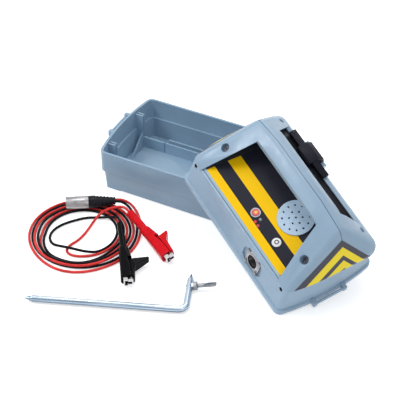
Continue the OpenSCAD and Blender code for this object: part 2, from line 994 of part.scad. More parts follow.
module mode_bezel() {
    color(yellow_color) bezel(mode_x, mode_r, bezel_w / 2);
}

module power_button() {
    color(black_color) button(power_x, power_r);
}

module power_ring() {
    color("White") bezel(power_x, power_r, bezel_w / 2);
}

module indicator_lenses() {
    color(red_color) on_case()
        for (p = lens_at)
            on_panel(p[0], p[1]) {
                translate([0, 0, -panel_t])
                    cylinder(r = lens_r, h = panel_t + overlay_t);
                translate([0, 0, overlay_t])
                    cylinder(r1 = lens_r, r2 = lens_r / 2, h = lens_r / 2);
            }
}

module tact_switches() {
    color(dark_color) on_case()
        for (x = [mode_x, power_x])
            translate([x, button_y, board_z + board_t + switch_h / 2])
                cube([switch_side, switch_side, switch_h], center = true);
}

// Chassis socket in the front pocket
socket_hole_share = 0.4;
socket_hole = socket_side * socket_hole_share;
socket_screw_r = 1.2;
socket_head_r = 2.2;
socket_head_h = 1.4;
socket_screw_l = 5;
insert_r = 7.6;
insert_set = 11;
insert_back = 3;
contact_r = 1.3;
contact_ring = 4;
contact_tail = 4;

module socket_shell() {
    color(metal_color) on_case() on_front(socket_x, socket_z) difference() {
        union() {
            translate([0, 0, -pocket_d])
                linear_extrude(socket_plate)
                    polygon(chamfered(socket_side, socket_side, socket_plate));
            translate([0, 0, -socket_depth])
                cylinder(r = socket_r + socket_wall, h = socket_depth);
        }
        translate([0, 0, -insert_set])
            cylinder(r = socket_r, h = insert_set + over);
        translate([0, 0, -socket_depth - over])
            cylinder(r = insert_r + fit, h = socket_depth);
        at_corners(socket_hole, socket_hole)
            translate([0, 0, -socket_depth])
                cylinder(r = socket_screw_r + fit, h = socket_depth);
    }
}

module at_contacts() {
    for (a = [90, 210, 330])
        rotate([0, 0, a]) translate([contact_ring, 0, 0]) children();
}

module socket_insert() {
    color(black_color) on_case() on_front(socket_x, socket_z) difference() {
        translate([0, 0, -socket_depth])
            cylinder(r = insert_r, h = socket_depth - insert_set);
        at_contacts()
            translate([0, 0, -socket_depth - over])
                cylinder(r = contact_r + fit, h = socket_depth + 2 * over);
    }
}

module socket_contacts() {
    color("Goldenrod") on_case() on_front(socket_x, socket_z) at_contacts()
        translate([0, 0, -socket_depth - contact_tail])
            cylinder(r = contact_r, h = contact_tail + insert_back);
}

module socket_screws() {
    color(metal_color) on_case() on_front(socket_x, socket_z) at_corners(socket_hole, socket_hole) {
        translate([0, 0, socket_plate - pocket_d])
            cylinder(r = socket_head_r, h = socket_head_h);
        translate([0, 0, socket_plate - pocket_d - socket_screw_l])
            cylinder(r = socket_screw_r, h = socket_screw_l);
    }
}

// Lead set on the floor. The plug lies across the coil
coil_x = -159.8;
coil_y = -44;
coil_start = 22;
red_turns = 3.25;
black_turns = 3.1167;
loop_rings = 24;
lead_lift = 0.05;
lead_z = lead_d / 2 + lead_lift;
plug_at = [-202.8, -14, 12];
plug_turn = 31.8;
boot_end_r = 4.8;
boot_ribs = 6;
boot_groove = 0.9;
plug_wall = 1.3;
plug_set = 3;
pin_r = 1.1;
pin_ring = 3.6;
pin_show = 2.2;

module on_plug() {
    translate(plug_at) rotate([0, 90, plug_turn]) children();
}

module plug_shell() {
    color(metal_color) on_plug() difference() {
        cylinder(r = plug_r, h = plug_l);
        translate([0, 0, -over])
            cylinder(r = plug_r - plug_wall, h = plug_l + 2 * over);
    }
}

module plug_insert() {
    color(black_color) on_plug()
        translate([0, 0, plug_set])
            difference() {
                cylinder(r = plug_r - plug_wall - fit, h = plug_l - plug_set);
                for (a = [90, 210, 330])
                    rotate([0, 0, a])
                        translate([pin_ring, 0, -over])
                            cylinder(r = pin_r + fit, h = plug_l / 2);
            }
}

module plug_pins() {
    color("Goldenrod") on_plug()
        for (a = [90, 210, 330])
            rotate([0, 0, a])
                translate([pin_ring, 0, plug_set - pin_show])
                    cylinder(r = pin_r, h = plug_l / 2);
}

// The boot's outline steps in at each rib, in (radius, place along the plug)
function boot_line() = let (step = boot_l / (boot_ribs + 2), fall = (plug_r - boot_end_r) / boot_ribs)
    concat([[0, 0], [plug_r, 0], [plug_r, 2 * step]],
        [for (i = [0 : boot_ribs - 1]) each [
            [plug_r - fall * i - boot_groove, 2 * step + step * i],
            [plug_r - fall * i - boot_groove, 2 * step + step * (i + 0.5)],
            [plug_r - fall * (i + 1), 2 * step + step * (i + 0.5)],
            [plug_r - fall * (i + 1), 2 * step + step * (i + 1)]]],
        [[0, boot_l]]);

module plug_boot() {
    color(black_color) on_plug()
        translate([0, 0, plug_l])
            rotate_extrude()
                polygon(boot_line());
}

// A lead is a tube swept along its points
function unit(v) = v / norm(v);
function way(path, i) = unit(path[min(i + 1, len(path) - 1)] - path[max(i - 1, 0)]);
function ring_at(path, i, r, sides, dir) =
    let (side = unit(cross([0, 0, 1], dir)), up = cross(dir, side))
    [for (k = [0 : sides - 1])
        let (a = 360 * (k + 0.5) / sides)
        path[i] + r * (side * cos(a) + up * sin(a))];

module sweep(path, sides, first, last) {
    n = len(path);
    points = [for (i = [0 : n - 1]) each ring_at(path, i, lead_d / 2, sides,
        i == 0 ? first : i == n - 1 ? last : way(path, i))];
    sides_list = [for (i = [0 : n - 2], k = [0 : sides - 1])
        let (a = i * sides + k, b = i * sides + (k + 1) % sides)
        each [[a, a + sides, b], [b, a + sides, b + sides]]];
    caps = [for (k = [1 : sides - 2]) each [[0, k, k + 1],
        [(n - 1) * sides, (n - 1) * sides + k + 1, (n - 1) * sides + k]]];
    polyhedron(points, concat(sides_list, caps));
}

// Two leads wind side by side, each drawing in by two spacings a turn
function coil_point(r, t) = let (a = coil_start - 360 * t, k = r - 2 * turn_pitch * t)
    [coil_x + k * cos(a), coil_y + k * sin(a), lead_z];
function coil_way(t) = let (a = coil_start - 360 * t) [sin(a), -cos(a), 0];
function coil_path(r, turns) = let (n = round(turns * loop_rings))
    [for (i = [0 : n]) coil_point(r, turns * i / n)];
red_path = coil_path(coil_r, red_turns);
black_path = coil_path(coil_r - turn_pitch, black_turns);
function self_gap(path) = min([for (i = [0 : len(path) - 1], j = [i + loop_rings / 2 : 1 : len(path) - 1])
    norm(path[i] - path[j])]) - lead_d;
function pair_gap(a, b) = min([for (p = a, q = b) norm(p - q)]) - lead_d;
echo(red_coil_gap = self_gap(red_path), black_coil_gap = self_gap(black_path));
echo(gap_between_coils = pair_gap(red_path, black_path));

// Routes of the free stretches, in whole or half millimetres from the middle of the coil
red_plug_route = [[19, 69.5, 11], [28, 70, 8.5], [38.5, 65.5, 5.2], [48.5, 56.5, 3], [57, 45.5, 2],
    [63, 33.5, 1.75]];
black_plug_route = [[20, 65.5, 11], [27, 65.5, 8.2], [36, 61, 5], [45, 53, 2.8], [53.5, 42.5, 1.9],
    [59.5, 31, 1.75]];
red_clip_route = [[7, -42.5, 1.75], [1, -40, 1.75], [-2, -34.5, 1.75], [-2, -27.5, 1.75], [1, -17, 1.75],
    [2.5, -4, 1.75], [2, 10, 2], [1.5, 24, 3.5], [3.5, 36, 7], [9.5, 44.5, 10.5], [18.5, 50.5, 13.2],
    [28, 53.5, 14.6]];
black_clip_route = [[33.5, -23.5, 2.2], [27, -29, 3.6], [18, -33.5, 5.4], [8, -36, 6.4],
    [-2, -37.5, 6.4], [-12, -38, 5], [-21, -36.5, 3], [-29, -31, 1.9], [-34, -23, 1.75], [-35.5, -13, 1.75],
    [-33.5, -3, 1.75], [-28.5, 7, 1.75], [-21, 17, 1.75], [-12, 26.5, 1.75], [-1.5, 33, 1.75],
    [8.5, 36.5, 3.2], [19, 38.5, 6.2], [27.5, 37.5, 9.3], [33.5, 33, 11.8]];
function from_coil(route) = [for (p = route) [coil_x + p[0], coil_y + p[1], p[2]]];
red_clip_at = [-119, 3.7, 14.5];
red_clip_roll = 14;
red_clip_turn = -30.1;
red_clip_tilt = 3.7;
black_clip_at = [-120.6, -18.8, 12.9];
black_clip_turn = -55.2;
black_clip_tilt = 2.9;
function heading(turn, tilt) = [cos(turn) * cos(tilt), sin(turn) * cos(tilt), -sin(tilt)];
plug_way = heading(plug_turn, 0);
red_clip_way = heading(red_clip_turn, red_clip_tilt);
black_clip_way = heading(black_clip_turn, black_clip_tilt);
boot_face = plug_at + (plug_l + boot_l) * plug_way;
boot_across = [-plug_way[1], plug_way[0], 0];

module red_coil() {
    color(red_color) sweep(red_path, 6, coil_way(0), coil_way(red_turns));
}

module black_coil() {
    color(black_color) sweep(black_path, 6, coil_way(0), coil_way(black_turns));
}

module plug_tail(side, route, r) {
    join = coil_point(r, 0);
    start = boot_face + side * (lead_d + seat) / 2 * boot_across;
    sweep(concat([start, start + lead_d * plug_way], from_coil(route),
        [join - lead_d * coil_way(0), join]), 8, plug_way, coil_way(0));
}

module clip_tail(route, path, turns, clip_at, clip_way) {
    join = path[len(path) - 1];
    sweep(concat([join, join + lead_d * coil_way(turns)], from_coil(route),
        [clip_at - lead_d * clip_way, clip_at]), 8, coil_way(turns), clip_way);
}

module red_plug_tail() {
    color(red_color) plug_tail(1, red_plug_route, coil_r);
}

module black_plug_tail() {
    color(black_color) plug_tail(-1, black_plug_route, coil_r - turn_pitch);
}

module red_clip_tail() {
    color(red_color) clip_tail(red_clip_route, red_path, red_turns, red_clip_at, red_clip_way);
}

module black_clip_tail() {
    color(black_color) clip_tail(black_clip_route, black_path, black_turns, black_clip_at, black_clip_way);
}

// Crocodile clip lying on its side: X runs from the sleeve to the jaws, the lever is on +Y
boot_half = 7;
boot_round = 3.5;
boot_low = -8.2;
boot_high = 4.4;
boot_wall = 1.8;
shoulder_end_r = 6.4;
collar_l = 3;
boot_back = 22;
boot_back_low = -6.8;
boot_back_high = 8.3;
boot_step = 2.5;
boot_rise = 4.6;
jaw_t = 1.4;
jaw_half = boot_half - boot_wall - fit;
jaw_low = -5.2;
jaw_high = 6.4;
jaw_show = 6;
tooth_l = 11;
ear_w = 8;
pivot_x = 33;
pivot_y = 2;
ear_from = pivot_x - ear_w / 2;
clip_pin_r = 1.5;
inner_half = jaw_half - jaw_t - seat;
lever_x = 25;
red_lever_y = 18;
black_lever_y = 27.5;
lever_r = 1.8;
lever_tip_half = 4;
lever_root_x = 27;
lever_root_y = 6.4;
lever_root_r = 1;
lever_root_half = 6;
knee_x = 37;
knee_y = 9.2;
knee_r = 2;
knee_half = 6.5;
lever_mouth = 4.8;
lever_high = 9.2;
tooth_gap = 0.4;
channel_start = 25;
spring_r = 3;

module on_red_clip() {
    translate(red_clip_at) rotate([red_clip_roll, red_clip_tilt, red_clip_turn]) children();
}

module on_black_clip() {
    translate(black_clip_at) rotate([0, black_clip_tilt, black_clip_turn]) children();
}

// Rounded section of a boot, from low to high on Y
module boot_section(x, low, high, half) {
    translate([x, 0, 0])
        rotate([90, 0, 90])
            linear_extrude(slice)
                translate([low + boot_round, boot_round - half])
                    offset(r = boot_round, $fn = hull_fn)
                        square([high - low - 2 * boot_round, 2 * (half - boot_round)]);
}

module clip_boot(sleeve_l, sleeve_r) {
    difference() {
        union() {
            rotate([0, 90, 0])
                cylinder(r = sleeve_r, h = sleeve_l);
            translate([sleeve_l, 0, 0]) difference() {
                union() {
                    hull() {
                        rotate([0, 90, 0])
                            cylinder(r1 = sleeve_r, r2 = shoulder_end_r, h = collar_l, $fn = hull_fn);
                        boot_section(boot_back - slice, boot_back_low, boot_back_high, shoulder_end_r);
                    }
                    hull() {
                        boot_section(boot_back - slice, boot_back_low, boot_back_high, shoulder_end_r);
                        boot_section(clip_l - slice, boot_low, lever_high, boot_half);
                    }
                }
                translate([0, 0, -2 * boot_half])
                    linear_extrude(4 * boot_half)
                        polygon([[boot_back, boot_step], [pivot_x, boot_rise], [clip_l + over, boot_high],
                            [clip_l + over, 4 * boot_half], [boot_back, 4 * boot_half]]);
            }
        }
        translate([sleeve_l + channel_start, jaw_low - fit, -jaw_half - fit])
            cube([clip_l, 4 * boot_half, 2 * (jaw_half + fit)]);
    }
}

module jaw_sides(half, low, high, from, to) {
    for (z = [-half, half - jaw_t])
        translate([from, low, z])
            cube([to - from, high - low, jaw_t]);
}

module clip_jaw(sleeve_l) {
    end = clip_l + jaw_show;
    translate([sleeve_l, 0, 0]) difference() {
        union() {
            translate([channel_start + seat, jaw_low, -jaw_half])
                cube([end - channel_start - seat, jaw_t, 2 * jaw_half]);
            jaw_sides(jaw_half, jaw_low, -tooth_gap / 2, end - tooth_l, end);
            jaw_sides(jaw_half, jaw_low, pivot_y + clip_pin_r + jaw_t, ear_from, ear_from + ear_w);
        }
        translate([pivot_x, pivot_y, -boot_half])
            cylinder(r = clip_pin_r + fit, h = 2 * boot_half);
    }
}

module clip_pin(sleeve_l) {
    translate([sleeve_l + pivot_x, pivot_y, -jaw_half])
        cylinder(r = clip_pin_r, h = 2 * jaw_half);
}

module clip_spring(sleeve_l) {
    spring_half = inner_half - jaw_t - seat;
    translate([sleeve_l + pivot_x, pivot_y, -spring_half])
        difference() {
            cylinder(r = spring_r, h = 2 * spring_half);
            translate([0, 0, -over])
                cylinder(r = clip_pin_r + seat, h = 2 * spring_half + 2 * over);
        }
}

module lever_middle() {
    translate([lever_root_x, lever_root_y, -lever_root_half])
        cylinder(r = lever_root_r, h = 2 * lever_root_half, $fn = hull_fn);
    translate([knee_x, knee_y, -knee_half])
        cylinder(r = knee_r, h = 2 * knee_half, $fn = hull_fn);
}

module clip_lever(sleeve_l, lever_y) {
    ear_r = norm([ear_w / 2, clip_pin_r + jaw_t]) + seat;
    translate([sleeve_l, 0, 0]) difference() {
        union() {
            hull() {
                translate([lever_x, lever_y, -lever_tip_half])
                    cylinder(r = lever_r, h = 2 * lever_tip_half, $fn = hull_fn);
                lever_middle();
            }
            hull() {
                lever_middle();
                intersection() {
                    boot_section(clip_l - slice, boot_low, lever_high, boot_half);
                    translate([0, lever_mouth, -boot_half])
                        cube([clip_l + over, lever_high, 2 * boot_half]);
                }
            }
        }
        translate([ear_from - over, boot_low, -inner_half - fit])
            cube([clip_l, jaw_high + fit - boot_low, 2 * (inner_half + fit)]);
        translate([pivot_x, pivot_y, -jaw_half - seat])
            cylinder(r = ear_r, h = 2 * (jaw_half + seat));
    }
}

module clip_moving_jaw(sleeve_l) {
    end = clip_l + jaw_show;
    translate([sleeve_l, 0, 0]) difference() {
        union() {
            translate([ear_from, jaw_high - jaw_t, -inner_half])
                cube([end - ear_from, jaw_t, 2 * inner_half]);
            jaw_sides(inner_half, tooth_gap / 2, jaw_high, end - tooth_l, end);
            jaw_sides(inner_half, pivot_y - clip_pin_r - jaw_t, jaw_high, ear_from, ear_from + ear_w);
        }
        translate([pivot_x, pivot_y, -boot_half])
            cylinder(r = clip_pin_r + run, h = 2 * boot_half);
    }
}

module red_clip_boot() { color(red_color) on_red_clip() clip_boot(red_sleeve_l, red_sleeve_r); }
module red_clip_jaw() { color(metal_color) on_red_clip() clip_jaw(red_sleeve_l); }
module red_clip_pin() { color(metal_color) on_red_clip() clip_pin(red_sleeve_l); }
module red_clip_spring() { color(metal_color) on_red_clip() clip_spring(red_sleeve_l); }
module red_clip_lever() { color(red_color) on_red_clip() clip_lever(red_sleeve_l, red_lever_y); }
module red_clip_moving_jaw() { color(metal_color) on_red_clip() clip_moving_jaw(red_sleeve_l); }
module black_clip_boot() { color(black_color) on_black_clip() clip_boot(black_sleeve_l, black_sleeve_r); }
module black_clip_jaw() { color(metal_color) on_black_clip() clip_jaw(black_sleeve_l); }
module black_clip_pin() { color(metal_color) on_black_clip() clip_pin(black_sleeve_l); }
module black_clip_spring() { color(metal_color) on_black_clip() clip_spring(black_sleeve_l); }
module black_clip_lever() { color(black_color) on_black_clip() clip_lever(black_sleeve_l, black_lever_y); }
module black_clip_moving_jaw() { color(metal_color) on_black_clip() clip_moving_jaw(black_sleeve_l); }

// Earth stake lying flat: the rod runs along X from its point, the leg along Y
stake_at = [-158.8, -180.8];
stake_turn = 21;
stake_rise = 1;
point_l = 10;
point_r = 0.8;
nut_y = 40.6;
nut_lift = 12;
nut_r = 5.6;
nut_t = 6.3;
flat_d = 0.8;
shank_l = 9;
thumb_l = 14;
thumb_w = 10;
thumb_t = 2.5;
thumb_r = 2.6;
thumb_turn = -21;

module on_stake() {
    translate([stake_at[0], stake_at[1], stake_r + stake_rise])
        rotate([0, 0, stake_turn])
            children();
}

module stake_rod() {
    color(metal_color) on_stake() difference() {
        union() {
            rotate([0, 90, 0])
                cylinder(r1 = point_r, r2 = stake_r, h = point_l);
            translate([point_l, 0, 0])
                rotate([0, 90, 0])
                    cylinder(r = stake_r, h = stake_l - bend_r - point_l);
            translate([stake_l - bend_r, bend_r, 0])
                rotate([0, 0, -90])
                    rotate_extrude(angle = 90)
                        translate([bend_r, 0])
                            circle(r = stake_r);
            translate([stake_l, bend_r, 0])
                rotate([-90, 0, 0])
                    cylinder(r = stake_r, h = leg_l - bend_r - point_l);
            translate([stake_l, leg_l - point_l, 0])
                rotate([-90, 0, 0])
                    cylinder(r1 = stake_r, r2 = point_r, h = point_l);
        }
        at_nut()
            translate([-stake_r, -nut_r - seat, 0])
                cube([2 * stake_r, 2 * (nut_r + seat), stake_r]);
        at_nut()
            translate([0, 0, -3 * stake_r])
                cylinder(r = screw_r + run, h = 4 * stake_r);
    }
}

module at_nut() {
    translate([stake_l, nut_y, 0])
        rotate([0, 90 - nut_lift, 0])
            translate([0, 0, stake_r - flat_d])
                children();
}

module stake_nut() {
    color(metal_color) on_stake() at_nut() difference() {
        cylinder(r = nut_r, h = nut_t, $fn = 6);
        translate([0, 0, -over])
            cylinder(r = screw_r + run, h = nut_t + 2 * over);
    }
}

module wing_screw() {
    reach = 2 * stake_r - flat_d;
    color(metal_color) on_stake() at_nut() {
        translate([0, 0, -reach])
            cylinder(r = screw_r, h = reach + nut_t + shank_l);
        translate([0, 0, nut_t + shank_l])
            rotate([0, 0, thumb_turn])
                difference() {
                    rotate([0, 90, 0])
                        linear_extrude(thumb_t, center = true)
                            polygon([[over, -screw_r], [over, screw_r], [-thumb_l / 4, thumb_w / 2],
                                [-thumb_l, thumb_w / 2 - over], [-thumb_l, over - thumb_w / 2],
                                [-thumb_l / 4, -thumb_w / 2]]);
                    translate([-thumb_t, 0, thumb_l * 3 / 5])
                        rotate([0, 90, 0])
                            cylinder(r = thumb_r, h = 2 * thumb_t);
                }
    }
}

tray_shell();
lower_case();
base_plate();
base_screws();
battery_holder();
battery_cells();
battery_contacts();
circuit_board();
tact_switches();
ferrite_rod();
antenna_winding();
handle_front_shell();
handle_rear_shell();
handle_screws();
control_panel();
panel_overlay();
rear_overlay();
end_overlays();
speaker();
speaker_grille();
mode_button();
mode_bezel();
power_button();
power_ring();
indicator_lenses();
socket_shell();
socket_insert();
socket_contacts();
socket_screws();
latch();
latch_pin();
plug_shell();
plug_boot();
plug_insert();
plug_pins();
red_coil();
black_coil();
red_plug_tail();
black_plug_tail();
red_clip_tail();
black_clip_tail();
red_clip_boot();
red_clip_jaw();
red_clip_pin();
red_clip_spring();
red_clip_lever();
red_clip_moving_jaw();
black_clip_boot();
black_clip_jaw();
black_clip_pin();
black_clip_spring();
black_clip_lever();
black_clip_moving_jaw();
stake_rod();
stake_nut();
wing_screw();
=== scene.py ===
import math

import bmesh
import bpy
from mathutils import Euler, Matrix, Vector


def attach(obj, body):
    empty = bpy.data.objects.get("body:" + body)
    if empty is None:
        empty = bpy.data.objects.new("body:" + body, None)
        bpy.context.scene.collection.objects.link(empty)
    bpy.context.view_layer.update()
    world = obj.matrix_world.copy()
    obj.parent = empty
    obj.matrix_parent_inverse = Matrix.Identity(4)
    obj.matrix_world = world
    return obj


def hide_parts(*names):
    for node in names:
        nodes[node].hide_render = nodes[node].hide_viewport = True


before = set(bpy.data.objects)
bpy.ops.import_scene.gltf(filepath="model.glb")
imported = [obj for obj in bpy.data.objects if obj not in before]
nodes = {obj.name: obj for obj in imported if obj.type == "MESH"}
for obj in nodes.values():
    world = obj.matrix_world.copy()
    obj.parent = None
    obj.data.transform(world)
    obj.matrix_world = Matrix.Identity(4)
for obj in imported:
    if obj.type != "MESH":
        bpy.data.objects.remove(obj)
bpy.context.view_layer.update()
scene = bpy.context.scene
scene.view_settings.view_transform = "Standard"
mm = 0.001
print("frame loaded,", len(nodes), "nodes")


# an sRGB hex colour as the linear values that a shader takes
def linear(code):
    parts = [int(code[i:i + 2], 16) / 255 for i in (1, 3, 5)]
    return [part / 12.92 if part <= 0.04045 else ((part + 0.055) / 1.055) ** 2.4 for part in parts] + [1.0]


# an input takes a plain value or another node's socket
def setInputs(tree, node, inputs):
    for name, value in inputs.items():
        if isinstance(value, bpy.types.NodeSocket):
            tree.links.new(value, node.inputs[name])
        else:
            node.inputs[name].default_value = value


# stops are the (place, colour) pairs of a colour ramp
def addNode(tree, kind, inputs=None, stops=(), **settings):
    node = tree.nodes.new(kind)
    for name, value in settings.items():
        setattr(node, name, value)
    setInputs(tree, node, inputs or {})
    while stops and len(node.color_ramp.elements) < len(stops):
        node.color_ramp.elements.new(1.0)
    for i, (place, code) in enumerate(stops):
        node.color_ramp.elements[i].position = place
        node.color_ramp.elements[i].color = linear(code)
    return node


def newMaterial(name):
    material = bpy.data.materials.new(name)
    material.use_nodes = True
    tree = material.node_tree
    return material, tree, tree.nodes["Principled BSDF"]


edgeSet = dict(mergeMm=0.002, flatDegrees=0.6, sharpDegrees=28, smoothDegrees=35, segments=2, longFrom=60.0,
    longSegments=3)


def finishPiece(name, bm, material, body, node, smoothDegrees=edgeSet["smoothDegrees"]):
    mesh = bpy.data.meshes.new(name)
    bm.to_mesh(mesh)
    bm.free()
    mesh.materials.append(material)
    mesh.shade_smooth()
    mesh.set_sharp_from_angle(angle=math.radians(smoothDegrees))
    piece = bpy.data.objects.new(name, mesh)
    scene.collection.objects.link(piece)
    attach(piece, body)
    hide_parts(node)
    return piece


# a copy of a node's mesh, with its loose triangles joined
def mergedCopy(node):
    bm = bmesh.new()
    bm.from_mesh(nodes[node].data)
    bmesh.ops.remove_doubles(bm, verts=bm.verts, dist=edgeSet["mergeMm"] * mm)
    return bm


# the same with its flat faces made whole, so that a bevel meets only real edges
def wholeFaces(node):
    bm = mergedCopy(node)
    bmesh.ops.dissolve_limit(bm, angle_limit=math.radians(edgeSet["flatDegrees"]), verts=bm.verts,
        edges=bm.edges, delimit=set())
    return bm


def sharpEdges(bm, degrees):
    limit = math.radians(degrees)
    return [edge for edge in bm.edges if len(edge.link_faces) == 2 and edge.calc_face_angle() > limit]


def easeEdges(bm, edges, widthMm, segments):
    bmesh.ops.bevel(bm, geom=edges, offset=widthMm * mm, offset_type="OFFSET", affect="EDGES",
        segments=segments, profile=0.5, material=-1, clamp_overlap=True, loop_slide=True)


# a rigid piece: the node's own shape with its edges broken, its long outer ones first where they are rounder
def easedCopy(name, node, material, body, slot, edgeMm, longMm=0.0, smoothDegrees=edgeSet["smoothDegrees"]):
    bm = wholeFaces(node)
    if longMm:
        rounder = [edge for edge in sharpEdges(bm, edgeSet["sharpDegrees"])
            if edge.is_convex and edge.calc_length() > edgeSet["longFrom"] * mm]
        easeEdges(bm, rounder, longMm, edgeSet["longSegments"])
    easeEdges(bm, sharpEdges(bm, edgeSet["sharpDegrees"]), edgeMm, edgeSet["segments"])
    return finishPiece(name, bm, material, body, node, smoothDegrees)


# a soft vinyl boot: the node's shape in small squares, rubbed down until no edge is left
def softCopy(name, node, material, body, voxelMm, rounds, shrinkMm=0.0):
    piece = finishPiece(name, mergedCopy(node), material, body, node)
    skin = piece.modifiers.new("skin", "REMESH")
    skin.mode = "VOXEL"
    skin.voxel_size = voxelMm * mm
    if shrinkMm:
        draw = piece.modifiers.new("draw", "DISPLACE")
        draw.mid_level = 0.0
        draw.strength = -shrinkMm * mm
    rub = piece.modifiers.new("rub", "SMOOTH")
    rub.factor = 0.5
    rub.iterations = rounds
    shaped = piece.evaluated_get(bpy.context.evaluated_depsgraph_get())
    mesh = bpy.data.meshes.new_from_object(shaped)
    piece.modifiers.clear()
    piece.data = mesh
    mesh.shade_smooth()
    return piece


# a CAD node keeps its mesh and gets its material
def dress(node, material):
    mesh = nodes[node].data
    mesh.materials.clear()
    mesh.materials.append(material)


cameraSet = dict(place=(580.5, -1165.7, 1135.5), azimuth=27.185, elevation=38.975, focalPixels=1400.5,
    imagePixels=400, clipM=20)
camera = bpy.data.objects.new("camera", bpy.data.cameras.new("camera"))
scene.collection.objects.link(camera)
camera.location = Vector(cameraSet["place"]) * mm
camera.rotation_euler = (math.radians(90 - cameraSet["elevation"]), 0, math.radians(cameraSet["azimuth"]))
camera.data.angle = 2 * math.atan(cameraSet["imagePixels"] / 2 / cameraSet["focalPixels"])
camera.data.clip_end = cameraSet["clipM"]
scene.camera = camera


# 1 for a ray that sees the background, straight, mirrored or through a clear piece, and 0 for one that lights
def seeingRays(tree):
    rays = addNode(tree, "ShaderNodeLightPath").outputs
    mirrored = addNode(tree, "ShaderNodeMath", {0: rays["Is Glossy Ray"], 1: rays["Is Transmission Ray"]},
        operation="MAXIMUM")
    seeing = addNode(tree, "ShaderNodeMath", {0: rays["Is Camera Ray"], 1: mirrored.outputs[0]},
        operation="MAXIMUM")
    return seeing.outputs[0]


floorSet = dict(sizeM=8.0, dropMm=0.4, colour="#F4F5F6", glow=0.5)


# matt white paper, rolled out: no gloss, only the soft shadow
def makeFloor():
    material, tree, shader = newMaterial("whitePaperSweep")
    setInputs(tree, shader, {"Base Color": linear(floorSet["colour"]), "Roughness": 0.95,
        "Specular IOR Level": 0.0})
    glow = addNode(tree, "ShaderNodeMath", {0: seeingRays(tree), 1: floorSet["glow"]}, operation="MULTIPLY")
    white = addNode(tree, "ShaderNodeEmission", {"Color": (1, 1, 1, 1), "Strength": glow.outputs[0]})
    both = addNode(tree, "ShaderNodeAddShader", {0: shader.outputs[0], 1: white.outputs[0]})
    tree.links.new(both.outputs[0], tree.nodes["Material Output"].inputs["Surface"])
    bm = bmesh.new()
    bmesh.ops.create_grid(bm, x_segments=1, y_segments=1, size=floorSet["sizeM"] / 2)
    bmesh.ops.translate(bm, verts=bm.verts, vec=(0, 0, -floorSet["dropMm"] * mm))
    mesh = bpy.data.meshes.new("floor")
    bm.to_mesh(mesh)
    bm.free()
    mesh.materials.append(material)
    floor = bpy.data.objects.new("floor", mesh)
    scene.collection.objects.link(floor)


lampSet = dict(
    key=dict(place=(-1000, -650, 1350), target=(0, 0, 40), sizeMm=600, power=12.0),
    fill=dict(place=(1300, -600, 800), target=(0, 0, 40), sizeMm=1000, power=3.5),
    back=dict(place=(-100, 1300, 1200), target=(0, 0, 40), sizeMm=1200, power=6.0),
    top=dict(place=(-150, 200, 1700), target=(-100, 120, 0), sizeMm=800, power=7.5),
)
worldSet = dict(lightStrength=0.5, seenStrength=1.0)


def makeLight():
    for name, part in lampSet.items():
        lamp = bpy.data.lights.new(name, "AREA")
        lamp.shape = "DISK"
        lamp.size = part["sizeMm"] * mm
        lamp.energy = part["power"]
        holder = bpy.data.objects.new(name, lamp)
        scene.collection.objects.link(holder)
        holder.location = Vector(part["place"]) * mm
        aim = Vector(part["target"]) * mm - holder.location
        holder.rotation_euler = aim.to_track_quat("-Z", "Y").to_euler()
    world = bpy.data.worlds.new("studio")
    world.use_nodes = True
    scene.world = world
    tree = world.node_tree
    level = addNode(tree, "ShaderNodeMapRange", {"Value": seeingRays(tree),
        "To Min": worldSet["lightStrength"], "To Max": worldSet["seenStrength"]})
    setInputs(tree, tree.nodes["Background"], {"Color": (1, 1, 1, 1), "Strength": level.outputs["Result"]})


makeFloor()
makeLight()
print("camera, floor and light set")

# the transmitter's own frame in mm and degrees, for prints that follow its panel and ends
caseSeat = dict(centre=(65.7, 37.5, 46.229), turn=(9.3, 19.95, -29.4))
caseTurn = Euler([math.radians(angle) for angle in caseSeat["turn"]])
caseMatrix = Matrix.Translation(Vector(caseSeat["centre"]) * mm) @ caseTurn.to_matrix().to_4x4()
toCase = caseMatrix.inverted()


# distances from a place on the case, along its own axes or axes leaned back from them
def caseCoords(tree, place=(0, 0, 0), lean=0.0):
    coords = addNode(tree, "ShaderNodeTexCoord")
    turn = (caseTurn.to_matrix() @ Matrix.Rotation(math.radians(lean), 3, "X")).to_euler()
    local = addNode(tree, "ShaderNodeMapping", {"Vector": coords.outputs["Object"],
        "Location": caseMatrix @ (Vector(place) * mm), "Rotation": turn}, vector_type="TEXTURE")
    return addNode(tree, "ShaderNodeSeparateXYZ", {0: local.outputs["Vector"]}).outputs


# 1 inside a hole through the front wall, or a pair of holes either side of the middle, and 0 outside: where
# painted shade goes down a hole
def boreShadeMask(tree, hole):
    local = caseCoords(tree, (0, hole["y"], hole["z"]), hole["lean"])
    side = addNode(tree, "ShaderNodeMath", {0: local["X"]}, operation="ABSOLUTE")
    off = addNode(tree, "ShaderNodeMath", {0: side.outputs[0], 1: hole["x"] * mm}, operation="SUBTRACT")
    across = addNode(tree, "ShaderNodeCombineXYZ", {"X": off.outputs[0], "Y": local["Z"]})
    radius = addNode(tree, "ShaderNodeVectorMath", {0: across.outputs[0]}, operation="LENGTH")
    inside = addNode(tree, "ShaderNodeMath", {0: radius.outputs["Value"], 1: hole["radius"] * mm},
        operation="LESS_THAN")
    return inside.outputs[0]


absSet = dict(cloudMm=45.0, cloudEnds=(0.3, 0.7), rubMm=9.0, rubEnds=(0.35, 0.65), smoother=0.05,
    rougher=0.08, grainMm=0.7, grainDeepMm=0.06, grainStrength=0.25)
# painted shade down the two foot screw holes in the case's front wall
footHoleShade = dict(x=94.5, y=-58.36, z=41.0, lean=10.73, radius=2.9, colour="#0C0D10")
# painted shade along the seam between the handle's shells
seamShade = dict(place=21.0, half=0.5, colour="#4E5F72")
panelBorder = dict(place=-53.0, half=1.9, colour="#8FA9BF")


